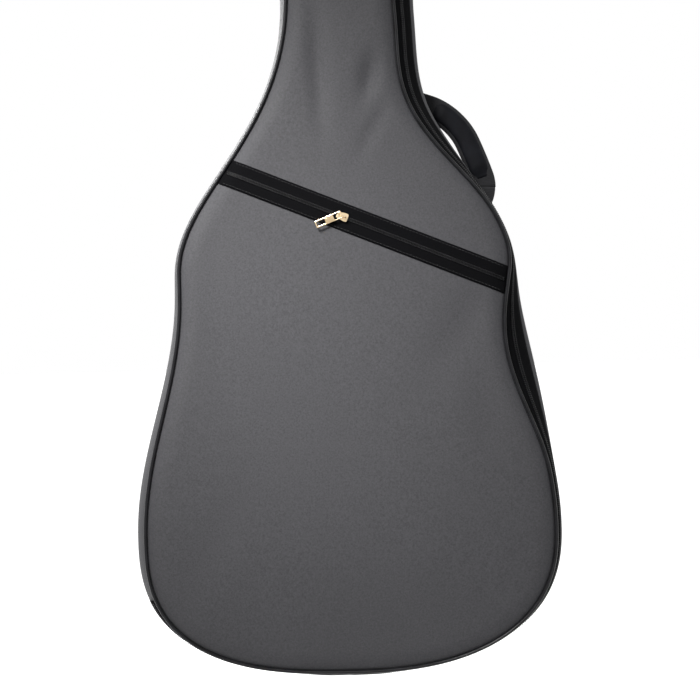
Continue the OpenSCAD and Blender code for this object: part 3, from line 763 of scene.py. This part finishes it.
def teeth(name, centres, along, across, up, size):
    """A row of coil turns: each is a small rounded bar across the zip."""
    length, width, height = size
    shape = [(-0.5, -0.5, 0.0), (0.5, -0.5, 0.0), (0.5, 0.5, 0.0), (-0.5, 0.5, 0.0),
             (-0.28, -0.42, 1.0), (0.28, -0.42, 1.0), (0.28, 0.42, 1.0), (-0.28, 0.42, 1.0)]
    quads = [(0, 3, 2, 1), (4, 5, 6, 7), (0, 1, 5, 4), (1, 2, 6, 5), (2, 3, 7, 6), (3, 0, 4, 7)]
    verts = np.concatenate([
        (centres + along * (a * length) + across * (b * width) + up * (c * height))[:, None]
        for a, b, c in shape], 1).reshape(-1, 3)
    faces = [tuple(8 * i + j for j in q) for i in range(len(centres)) for q in quads]
    return piece(name, verts, faces, smooth=False)


def zip_teeth(name, index, y):
    a, b = FINE.at(index, y - 0.9, TAPE_T), FINE.at(index, y + 0.9, TAPE_T)
    across = (b - a) / np.linalg.norm(b - a, axis=1)[:, None]
    middle = (a + b) / 2
    along = tangents(middle)
    up = np.cross(across, along)
    outward = np.stack([FINE.out[index, 0], 0 * index, FINE.out[index, 1]], 1)
    up *= np.sign((up * outward).sum(1))[:, None]
    return teeth(name, middle, along, across, up, (1.35, 1.7, 1.2))


def main_zip():
    index = zip_indices(WALL, 2)
    fine = zip_indices(FINE, -3)
    front = band_section(-EDGE_Y + 1.4, ZIP_MID_Y - ZIP_GAP, TAPE_T, -0.1, 6)
    finish(wall_band("main_zip_front_tape", index, front), TAPE,
           ("main_tape_front", "main_tape_base_end", "main_tape_top_end"), blend=True)
    rear = band_section(ZIP_MID_Y + ZIP_GAP, ZIP_DEPTH - HALF_D + 1, TAPE_T, -0.1, 6)
    finish(wall_band("main_zip_rear_tape", index, rear), TAPE, ("main_tape_rear",), body="bag")
    finish(zip_teeth("main_zip_front_coil", fine, ZIP_MID_Y - 1.1), COIL,
           ("main_coil_front", "main_coil_ends"), blend=True)
    finish(zip_teeth("main_zip_rear_coil", fine, ZIP_MID_Y + 1.1), COIL, ("main_coil_rear",), body="bag")


# ---- Pocket zip ----------------------------------------------------------------------

ZIP_ALONG = np.array([math.cos(POCKET_ANGLE), -math.sin(POCKET_ANGLE)])
ZIP_UP = np.array([math.sin(POCKET_ANGLE), math.cos(POCKET_ANGLE)])


def pocket_xz(u, v):
    """The point u along the pocket zip and v over its line."""
    over = np.broadcast_to(v, np.shape(u))
    return np.array([0, POCKET_Z]) + np.outer(u, ZIP_ALONG) + np.outer(over, ZIP_UP)


def pocket_span(v, margin):
    """Where the line at height v over the zip crosses the front panel's edge."""
    u = np.linspace(-190, 210, 1601)
    p = pocket_xz(u, v)
    ok = inside(p, FRONT_LINE)
    ok &= distance_to(p, FRONT_LINE) > margin
    return u[ok].min(), u[ok].max()


def on_front(u, v, lift):
    p = pocket_xz(u, v)
    y = front_skin_y(p, distance_to(p, FRONT_LINE)) - lift
    return np.stack([p[:, 0], y, p[:, 1]], 1)


def pocket_strip(name, low, high, rows=7):
    """One tape of the pocket zip, lying on the front cloth from edge to edge."""
    heights = np.linspace(low, high, rows)
    spans = [pocket_span(v, 0.6) for v in heights]
    count = 140
    top, bottom = [], []
    for v, (a, b) in zip(heights, spans):
        u = np.linspace(a, b, count)
        top.append(on_front(u, v, TAPE_T))
        bottom.append(on_front(u, v, -0.1))
    section = np.stack(top + bottom[::-1], 1)
    return loft(name, section)


POCKET_COIL_PITCH = 1.7


def pocket_zip():
    half = POCKET_TAPE_W / 2
    finish(pocket_strip("pocket_zip_upper_tape", ZIP_GAP, half), TAPE,
           ("pocket_tape_upper", "pocket_tape_end"), blend=True)
    finish(pocket_strip("pocket_zip_lower_tape", -half, -ZIP_GAP), TAPE, ("pocket_tape_lower",), blend=True)
    for name, v, nodes in (("pocket_zip_upper_coil", 0.95, ("pocket_coil_upper", "pocket_coil_end")),
                           ("pocket_zip_lower_coil", -0.95, ("pocket_coil_lower",))):
        a, b = pocket_span(v, 4)
        u = np.arange(a, b, POCKET_COIL_PITCH) + (0.0 if v > 0 else POCKET_COIL_PITCH / 2)
        centres = on_front(u, v, TAPE_T - 0.02)
        along = tangents(centres)
        across = np.broadcast_to([ZIP_UP[0], 0, ZIP_UP[1]], centres.shape)
        up = np.cross(across, along)
        up *= np.sign(-up[:, 1])[:, None]
        finish(teeth(name, centres, along, across, up, (1.15, 1.6, 1.15)), COIL, nodes, blend=True)


# ---- Sliders and pulls ---------------------------------------------------------------

def bevelled(obj, width):
    """The same piece with its sharp edges rounded, to a width in metres."""
    bpy.context.view_layer.objects.active = obj
    modifier = obj.modifiers.new("edges", "BEVEL")
    modifier.width = width
    modifier.segments = 2
    modifier.limit_method = "ANGLE"
    modifier.angle_limit = math.radians(35)
    depsgraph = bpy.context.evaluated_depsgraph_get()
    mesh = bpy.data.meshes.new_from_object(obj.evaluated_get(depsgraph))
    obj.modifiers.clear()
    obj.data = mesh
    return obj


def extruded(name, outline, holes, z0, z1, to_bag):
    """A flat part with windows: a closed outline and holes in X and Y, from z0 to z1."""
    points = [Vector(p) for p in outline]
    loops = [list(range(len(outline)))]
    for hole in holes:
        loops.append(list(range(len(points), len(points) + len(hole))))
        points += [Vector(p) for p in hole]
    edges = [(loop[i], loop[(i + 1) % len(loop)]) for loop in loops for i in range(len(loop))]
    found = delaunay_2d_cdt(points, edges, [], 0, 1e-5)
    flat = np.array([tuple(v) for v in found[0]])
    centre = np.array([flat[list(t)].mean(0) for t in found[2]])
    keep = inside(centre, np.array(outline))
    for hole in holes:
        keep &= ~inside(centre, np.array(hole))
    tris = [t for t, k in zip(found[2], keep) if k]
    count = len(flat)
    low = np.column_stack([flat, np.full(count, z0)])
    high = np.column_stack([flat, np.full(count, z1)])
    edges = {(t[k], t[(k + 1) % 3]) for t in tris for k in range(3)}
    rim = [e for e in edges if (e[1], e[0]) not in edges]
    faces = [tuple(t) for t in tris] + [tuple(i + count for i in t[::-1]) for t in tris]
    faces += [(b, a, a + count, b + count) for a, b in rim]
    return piece(name, to_bag(np.concatenate([low, high])), faces, smooth=False)


def rounded_rect(x0, x1, y0, y1, r, steps=5):
    corners = ((x1 - r, y1 - r, 0), (x0 + r, y1 - r, 90), (x0 + r, y0 + r, 180), (x1 - r, y0 + r, 270))
    out = []
    for cx, cy, start in corners:
        for k in range(steps + 1):
            a = math.radians(start + 90 * k / steps)
            out.append((cx + r * math.cos(a), cy + r * math.sin(a)))
    return out


# The slider's lift off the coils and its plate, the bridge's hollow, the pull's place and size,
# and the bar and eye at the pull's near end; plate edges are rounded by BEVEL, small ones by FINE_BEVEL
SLIDER_LIFT, PLATE_T = 0.35, 1.0
BRIDGE_HALF, BRIDGE_H, BRIDGE_HALF_T = 3.75, 3.8, 0.5
POST_X, PULL_Z, PULL_T, PULL_W, PULL_L = -3.5, 1.75, 1.5, 7.6, 29.0
BAR_X, PULL_BAR, EYE_L = 1.4, 1.5, 7.4
BEVEL, FINE_BEVEL = 0.00035, 0.0002


def slider_body(name, to_bag):
    """The slider: a plate with a rounded nose, side flanges and an arched bridge."""
    half = [(-6.0, 2.3), (-5.2, 3.1), (-3.0, 3.6), (0.0, 4.0), (2.8, 4.4), (4.6, 4.3), (5.6, 3.6), (6.0, 2.5)]
    outline = half + [(x, -y) for x, y in half[::-1]]
    plate = extruded("plate", outline, [], SLIDER_LIFT, SLIDER_LIFT + PLATE_T, to_bag)
    parts = [bevelled(plate, BEVEL)]
    for sign in (-1, 1):
        rail = [(-6.0, sign * 2.3), (-6.0, sign * 3.05), (0.0, sign * 3.7), (3.0, sign * 4.1),
                (3.2, sign * 3.6), (0.0, sign * 2.6)]
        rail = rail if sign < 0 else rail[::-1]
        flange = extruded("rail", rail, [], -1.0, SLIDER_LIFT + 0.2, to_bag)
        parts.append(bevelled(flange, FINE_BEVEL))
    arch = []
    for k in range(17):
        a = math.pi * k / 16
        x = -BRIDGE_HALF * math.cos(a)
        z = SLIDER_LIFT + PLATE_T - 0.3 + BRIDGE_H * min(1.0, math.sin(a) * 1.35) ** 0.8
        wide = 0.62 + 0.35 * abs(math.cos(a)) ** 3
        n = np.array([-math.cos(a), 0, max(0.25, math.sin(a))])
        n /= np.linalg.norm(n)
        dx, dz = n[0] * BRIDGE_HALF_T, n[2] * BRIDGE_HALF_T
        arch.append([(x - dx, -wide, z - dz), (x - dx, wide, z - dz),
                     (x + dx, wide * 0.7, z + dz), (x + dx, -wide * 0.7, z + dz)])
    arch = np.array([to_bag(np.array(row)) for row in arch])
    parts.append(bevelled(loft("bridge", arch, smooth=False), FINE_BEVEL))
    return merged(name, parts)


def pull_body(name, to_bag):
    """The pull: a flat plate with a wide eye round the bridge and a window at its free end."""
    tail = BAR_X + PULL_BAR - PULL_L
    half = PULL_W / 2
    outline = rounded_rect(tail, BAR_X + PULL_BAR, -half, half, 1.1)
    eye = rounded_rect(BAR_X - EYE_L, BAR_X, -half + 0.85, half - 0.85, 0.9)
    window = rounded_rect(tail + 1.5, tail + 10.5, -half + 1.5, half - 1.5, 0.4)
    pull = extruded(name, outline, [eye[::-1], window[::-1]], PULL_Z, PULL_Z + PULL_T, to_bag)
    groove = rounded_rect(tail + 11.6, BAR_X - EYE_L - 1.0, -half + 1.6, half - 1.6, 0.5)
    raised = extruded("rib", groove, [], PULL_Z + PULL_T - 0.1, PULL_Z + PULL_T + 0.25, to_bag)
    return merged(name, [bevelled(pull, BEVEL), bevelled(raised, FINE_BEVEL)])


def frame_of(origin, x_axis, y_axis, z_axis, turn=0.0, shift=0.0):
    """Maps local points to the bag, turned about local Z after a shift of the origin along X."""
    c, s = math.cos(turn), math.sin(turn)

    def to_bag(points):
        p = np.asarray(points, float)
        x = shift + c * p[:, 0] - s * p[:, 1]
        y = s * p[:, 0] + c * p[:, 1]
        return origin + np.outer(x, x_axis) + np.outer(y, y_axis) + np.outer(p[:, 2], z_axis)
    return to_bag


# Height of the coil's face over the tape's seat, the coil's lift on the curved wall, how far the
# main slider is parked short of the fold, and how the pocket's pull hangs
COIL_FACE, COIL_LIFT = 2.2, 0.15
SLIDER_PARK = 26
PULL_SAG = math.radians(44)


def slider_and_pull(name, origin, axes, sag, slider_on):
    """A zip's slider, on one body, and the pull that turns in its bridge."""
    slider = slider_body(name + "_slider_body", frame_of(origin, *axes))
    finish(slider, GOLD, (name + "_slider",), body=slider_on)
    pull = pull_body(name + "_pull_plate", frame_of(origin, *axes, sag, POST_X))
    finish(pull, GOLD, (name + "_pull",), body=name + "_pull")


def sliders():
    spot = pocket_xz([SLIDER_AT], 0)[0]
    axes = ([ZIP_ALONG[0], 0, ZIP_ALONG[1]], [ZIP_UP[0], 0, ZIP_UP[1]], [0, -1, 0])
    origin = np.array([spot[0], -HALF_D - COIL_FACE, spot[1]])
    slider_and_pull("pocket", origin, axes, PULL_SAG, "pocket_slider")
    origin = np.array([FOLD_TOP_X - SLIDER_PARK, ZIP_MID_Y, BAG_H + COIL_FACE + COIL_LIFT])
    slider_and_pull("main", origin, ([1, 0, 0], [0, 1, 0], [0, 0, 1]), 0.0, "bag")


# ---- Handle --------------------------------------------------------------------------

def rounded_path(points, rounds=4):
    """An open row of points with its corners cut smooth."""
    p = np.asarray(points, float)
    for _ in range(rounds):
        cut = np.stack([p[:-1] * 0.75 + p[1:] * 0.25, p[:-1] * 0.25 + p[1:] * 0.75], 1).reshape(-1, 2)
        p = np.concatenate([p[:1], cut, p[-1:]])
    return p


# The handle's middle line: along its swing axis, and out from it. Its moving part lies between
# two places along the line, with the grip between two others, and its ends are sewn to the side
HANDLE_LINE = [(-26, -26), (-10, -22), (4, -15), (18, -4), (31, 6), (47, 13), (67, 16.5), (87, 14),
               (107, 10.5), (122, 8), (133, 0), (140, -12)]
HANDLE_FROM, HANDLE_UNTIL = 7.0, 127.0
GRIP_FROM, GRIP_UNTIL = 24, 118
HANDLE_ROOT = 5.0
# The swing axis: between two places on the shoulder's curve, and out from it
AXIS_TOP, AXIS_BASE, AXIS_OUT = 0.745, 0.345, 8


def oval(half_w, half_t, square, sides=24):
    """A flat rounded section: (across, through)."""
    a = np.linspace(0, 2 * np.pi, sides, endpoint=False)
    return np.stack([half_w * np.sign(np.cos(a)) * abs(np.cos(a)) ** square,
                     half_t * np.sign(np.sin(a)) * abs(np.sin(a)) ** square], 1)


def rooted(xz, cloth):
    """Points moved out where they lie deeper than the handle's root under the side's cloth."""
    deep = np.where(inside(xz, cloth), distance_to(xz, cloth), 0)
    nearest = np.argmin(np.linalg.norm(xz[:, None] - cloth[None], axis=2), axis=1)
    return xz + WALL.out[nearest] * np.maximum(deep - HANDLE_ROOT, 0)[:, None]


def handle():
    a, b = shoulder(AXIS_TOP)[0], shoulder(AXIS_BASE)[0]
    along = (b - a) / np.linalg.norm(b - a)
    out = np.array([-along[1], along[0]])
    start = a + out * AXIS_OUT
    path = resampled([rounded_path(HANDLE_LINE)], 2.5, closed=False)[0]
    side_way = -normals(path, closed=False)
    cloth = WALL.at(np.arange(len(WALL.wall)), HANDLE_Y)[:, [0, 2]]

    def band(name, keep, widths, depths, square):
        rows = []
        for p, n, w, t in zip(path[keep], side_way[keep], widths, depths):
            section = oval(w, t, square)
            ring = p + np.outer(section[:, 0], n)
            xz = rooted(start + np.outer(ring[:, 0], along) + np.outer(ring[:, 1], out), cloth)
            rows.append(np.stack([xz[:, 0], HANDLE_Y + section[:, 1], xz[:, 1]], 1))
        return loft(name, np.array(rows))

    def swell(keep, low, high, edge):
        u = np.linspace(0, 1, keep.sum())
        return low + (high - low) * ease(np.minimum(u, 1 - u) / edge)

    moving = (path[:, 0] > HANDLE_FROM) & (path[:, 0] < HANDLE_UNTIL)
    pad = (path[:, 0] > GRIP_FROM) & (path[:, 0] < GRIP_UNTIL)
    strap = band("handle_strap", moving, swell(moving, 12.6, 13.2, 0.2), swell(moving, 2.3, 3.6, 0.2), 0.5)
    finish(strap, WEBBING, ("handle_webbing",), body="handle")
    sleeve = band("handle_sleeve", pad, swell(pad, 8.6, 10.4, 0.12), swell(pad, 3.0, 6.4, 0.14), 0.72)
    finish(sleeve, GRIP, ("handle_grip",), body="handle")
    for end, keep in (("top", path[:, 0] < HANDLE_FROM + 3), ("base", path[:, 0] > HANDLE_UNTIL - 3)):
        count = keep.sum()
        tongue = band("handle_tongue_" + end, keep, np.full(count, 12.2), np.full(count, 2.1), 0.5)
        finish(tongue, WEBBING, ("handle_end_" + end,), body="bag")


# ---- Straps, patch and loop ----------------------------------------------------------

def bezier(a, b, c, d, t):
    a, b, c, d = (np.array(p, float) for p in (a, b, c, d))
    t = np.asarray(t)[:, None]
    return a * (1 - t) ** 3 + 3 * b * t * (1 - t) ** 2 + 3 * c * t * t * (1 - t) + d * t ** 3


STRAP_Y = HALF_D + 3.2


def strip_along(name, path, widths, section):
    """A strap lying on the back: a flat path in X and Z, widths, and a section of (across, depth)."""
    side_way = normals(path, closed=False)
    rows = []
    for p, n, w in zip(path, side_way, widths):
        rows.append([(p[0] + n[0] * a * w / 2, y, p[1] + n[1] * a * w / 2) for a, y in section])
    return loft(name, np.array(rows))


def flat_section(y0, y1, steps=7):
    across = np.linspace(-1, 1, steps)
    nose = (y1 - y0) * 0.25
    top = [(a, y1 - (nose if abs(a) > 0.99 else 0)) for a in across]
    return top + [(a, y0 + (nose if abs(a) > 0.99 else 0)) for a in across[::-1]]


def pad_section(y0, y1, steps=13):
    across = np.linspace(-1, 1, steps)
    top = [(a, y0 + (y1 - y0) * (0.35 + 0.65 * (1 - abs(a) ** 3.2) ** 0.5)) for a in across]
    return top + [(a, y0 + (y1 - y0) * 0.12 * abs(a) ** 3) for a in across[::-1]]


def mirrored(path, sign):
    return path * [sign, 1]


# The right strap's pad and webbing: where each begins and ends on the back, and their widths
PAD_TOP, PAD_END, PAD_W, PAD_T = np.array([50, 592]), np.array([74, 345]), 50, 8
LOCK_AT, WEB_END, WEB_W = np.array([76, 332]), np.array([150, 94]), 25.0


def web_path(t, sign):
    """The webbing's middle line, from the ladder lock to the corner tab."""
    return mirrored(bezier(LOCK_AT, LOCK_AT + [10, -80], WEB_END + [-34, 66], WEB_END, t), sign)


def strap_pad(label, sign):
    t = np.linspace(0, 1, 41)
    path = mirrored(bezier(PAD_TOP, PAD_TOP + [2, -90], PAD_END + [-6, 80], PAD_END, t), sign)
    taper = np.where(t > 0.93, 1 - (t - 0.93) * 4, 1)
    widths = PAD_W * np.clip(0.9 + 0.1 * np.minimum(t, 1 - t) / 0.03, 0.9, 1) * taper
    pad = strip_along("strap_padding_" + label, path, widths, pad_section(STRAP_Y, STRAP_Y + PAD_T))
    finish(pad, GREY, ("strap_pad_" + label,), body="strap_" + label)
    section = flat_section(STRAP_Y + 0.6, STRAP_Y + 4.4, 5)
    edges = []
    for a in (-1, 1):
        line = path + normals(path, closed=False) * (a * (widths / 2 - 0.6))[:, None]
        edges.append(strip_along("edge", line, np.full(len(t), 3.0), section))
    finish(merged("strap_binding_" + label, edges), WEBBING, body="strap_" + label)


def strap_webbing(label, sign):
    """The webbing, with its free tail folded back through the lock and a hem at the tail's end."""
    parts = []
    for name, t0, t1, count, width, y0, y1 in (("web", 0, 1, 49, WEB_W, 0, 2),
                                               ("tail", 0.01, 0.44, 22, 24.4, 2.05, 3.9),
                                               ("hem", 0.415, 0.44, 4, 24.8, 3.9, 5.2)):
        path = web_path(np.linspace(t0, t1, count), sign)
        section = flat_section(STRAP_Y + y0, STRAP_Y + y1)
        parts.append(strip_along(name, path, np.full(count, width), section))
    finish(merged("strap_webbing_" + label, parts), WEBBING, ("strap_web_" + label,), body="strap_" + label)


def straps():
    for label, sign in (("right", 1), ("left", -1)):
        strap_pad(label, sign)
        strap_webbing(label, sign)
        tab = mirrored(WEB_END + np.array([(-4, 14), (0, 4), (6, -10), (14, -24), (20, -34)], float), sign)
        tab = strip_along("strap_corner_tab_" + label, tab, [30, 34, 38, 40, 38],
                          flat_section(HALF_D - 2.2, HALF_D + 1.6))
        finish(tab, WEBBING, ("strap_tab_" + label,), body="bag")
        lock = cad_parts["strap_lock_" + label]
        lock.data.materials.clear()
        lock.data.materials.append(LOCK_PLASTIC)


def patch():
    outline = np.array([(-88, 586), (88, 586), (60, 634), (-60, 634)], float)
    line = WALL.wall
    edge = densified(outline, 5)
    keep = inside(edge, line - normals(line) * 2.5)
    edge = edge[keep]

    def outer(p, d):
        wall_d = distance_to(p, line)
        rim = np.clip(distance_to(p, edge) / 1.6, 0, 1)
        return HALF_D - dome(wall_d) + 0.5 + 1.0 * rim

    def inner(p, d):
        return HALF_D - dome(distance_to(p, line)) - 1.0

    vinyl = panel("strap_patch_vinyl", edge, edge, outer, inner, 7.0)
    finish(vinyl, VINYL, ("strap_patch",), body="bag")


def hang_loop():
    radius, height, foot, wide, thick, loop_y = 13.0, 34.0, 15.0, 20.0, 2.0, 8
    middle = BAG_H + height - radius
    centre = [(-radius - thick - foot + 1, BAG_H + 0.2), (-radius - thick - 4, BAG_H + 1.2)]
    centre += [(-radius - 1.8, BAG_H + 4), (-radius - 1.1, BAG_H + 10)]
    centre += [(-(radius + 1) * math.cos(math.radians(a)), middle + (radius + 1) * math.sin(math.radians(a)))
               for a in range(0, 181, 12)]
    centre += [(-x, z) for x, z in centre[:4][::-1]]
    path = np.array(centre)
    n = normals(path, closed=False)
    rows = []
    for p, d in zip(path, n):
        row = []
        for a, b in ((-1, -1), (-0.6, -1.0), (0.6, -1.0), (1, -1), (1, 1), (0.6, 1.0), (-0.6, 1.0), (-1, 1)):
            t = thick / 2 * (0.6 if abs(a) == 1 else 1.0) * b
            row.append((p[0] + d[0] * t, loop_y + a * wide / 2, p[1] + d[1] * t))
        rows.append(row)
    finish(loft("hang_loop_webbing", np.array(rows)), WEBBING, ("hang_loop", "loop_foot"), body="bag")


# ---- Inside the bag ------------------------------------------------------------------

def inside_pads():
    z0, z1, back, depth, half, groove = 695.0, 765.0, 48.5, 27.0, 38.0, 26.0
    front = back - depth
    rows = []
    for k in range(15):
        f = k / 14
        z = z0 + (z1 - z0) * f
        ends = 1 - 0.12 * (abs(2 * f - 1) ** 6)
        row = []
        for j in range(25):
            x = -half + 2 * half * j / 24
            hollow = math.sqrt(max(groove ** 2 - x * x, 0)) - 8
            y = front + max(hollow, 0) + 3 * (abs(x) / half) ** 10
            row.append((x * ends, back - (back - y) * ends, z))
        row += [(half * ends, back, z), (-half * ends, back, z)]
        rows.append(row)
    finish(loft("neck_rest_pad", np.array(rows)), LINING, ("neck_rest",), body="bag")
    x = WALL.wall[:, 0]
    z = WALL.wall[:, 1]
    order = np.roll(np.arange(len(x)), len(x) // 2)
    near = order[(abs(x[order]) < 70) & (z[order] < 60)]
    cushion = wall_band("end_pad_cushion", near, band_section(-30, 48, -8.3, -21.5, 9))
    finish(cushion, LINING, ("end_pad",), body="bag")


# ---- Stitching -----------------------------------------------------------------------

def stitch_row(name, points, up, length=2.6, step=3.6):
    """Short thread bars along a row of points that are finely spaced."""
    s = lengths(points, False)
    t = np.arange(step, s[-1] - step, step)
    centres = np.stack([np.interp(t, s, points[:, k]) for k in range(3)], 1)
    along = tangents(centres)
    ups = np.broadcast_to(np.asarray(up, float), along.shape)
    return teeth(name, centres, along, np.cross(ups, along), ups, (length, 0.55, 0.35))


def stitching():
    for name, v in (("pocket_coil_thread_upper", 1.55), ("pocket_coil_thread_lower", -1.55)):
        a, b = pocket_span(v, 4)
        line = on_front(np.linspace(a, b, 400), v, TAPE_T + 0.75)
        finish(stitch_row(name, line, [0, -1, 0], 1.5, 3.6), THREAD, blend=True)
    seam = POCKET_TAPE_W / 2 - 2.2
    for name, v in (("pocket_stitch_upper", seam), ("pocket_stitch_lower", -seam)):
        a, b = pocket_span(v, 4)
        line = on_front(np.linspace(a, b, 400), v, TAPE_T - 0.05)
        finish(stitch_row(name, line, [0, -1, 0]), THREAD, blend=True)


# ---- Stage, light and camera ---------------------------------------------------------

FLOOR_DROP = 0.07


def stage():
    """A pale floor a little below the bag, which hangs from its loop."""
    mesh = bpy.data.meshes.new("studio_floor")
    z, reach = BASE_Z - FLOOR_DROP, 40.0
    corners = [(-reach, -reach, z), (reach, -reach, z), (reach, reach, z), (-reach, reach, z)]
    mesh.from_pydata(corners, [], [(0, 1, 2, 3)])
    obj = bpy.data.objects.new("studio_floor", mesh)
    bpy.context.scene.collection.objects.link(obj)
    n = Nodes("studio_paper")
    source, split = n.add("ShaderNodeTexCoord"), n.add("ShaderNodeSeparateXYZ")
    n.link(source, "Object", split, 0)
    behind = n.add("ShaderNodeMapRange", in_1=-1.2, in_2=0.1, in_3=0.0, in_4=0.6)
    n.link(split, "Y", behind, 0)
    distance = n.add("ShaderNodeVectorMath", operation="LENGTH")
    n.link(source, "Object", distance, 0)
    far = n.add("ShaderNodeMapRange", in_1=4.0, in_2=20.0, in_3=0.0, in_4=0.45)
    n.link(distance, "Value", far, 0)
    n.link(n.math("MAXIMUM", behind, far), 0, n.shader, "Emission Strength")
    obj.data.materials.append(n.set(Base_Color=(0.7, 0.7, 0.7, 1), Roughness=0.9,
                                    Emission_Color=(1, 1, 1, 1), Specular_IOR_Level=0.1))


def light(name, place, target, size, power, colour=(1, 1, 1), spread=180):
    data = bpy.data.lights.new(name, "AREA")
    data.spread = math.radians(spread)
    data.shape = "RECTANGLE"
    data.size, data.size_y = size
    data.energy = power
    data.color = colour
    obj = bpy.data.objects.new(name, data)
    obj.location = Vector(place)
    obj.rotation_euler = (Vector(target) - Vector(place)).to_track_quat("-Z", "Y").to_euler()
    bpy.context.scene.collection.objects.link(obj)


def studio():
    stage()
    world = bpy.data.worlds.new("studio_world")
    world.use_nodes = True
    world.node_tree.nodes["Background"].inputs[0].default_value = (1.0, 1.0, 1.0, 1)
    world.node_tree.nodes["Background"].inputs[1].default_value = 1.0
    bpy.context.scene.world = world
    light("key_light", placed([-560, -1000, 1250]), placed([-100, -60, 410]), (0.42, 0.36), 3.95,
          (1.0, 0.995, 0.985), 33)
    light("side_light", placed([1700, 300, 1200]), placed([0, 0, 600]), (0.8, 1.4), 5, (0.95, 0.97, 1.0))
    light("back_light", placed([-700, 1300, 1500]), placed([0, 60, 700]), (0.9, 0.7), 13, spread=80)


CAMERA_GAP = 1900.0
PHOTO_WIDTH = 716.8
ROLL = math.radians(1.26)


def camera():
    data = bpy.data.cameras.new("photo_camera")
    data.sensor_width = 36
    data.lens = 36 * CAMERA_GAP / PHOTO_WIDTH
    obj = bpy.data.objects.new("photo_camera", data)
    obj.location = Vector(placed([3, -HALF_D - CAMERA_GAP, 330]))
    obj.rotation_euler = (math.pi / 2, ROLL, 0)
    bpy.context.scene.collection.objects.link(obj)
    bpy.context.scene.camera = obj
    bpy.context.scene.view_settings.view_transform = "Standard"


camera()
studio()
front_panels()
pipings()
back_panels()
side_walls()
main_zip()
pocket_zip()
sliders()
handle()
straps()
patch()
hang_loop()
inside_pads()
stitching()
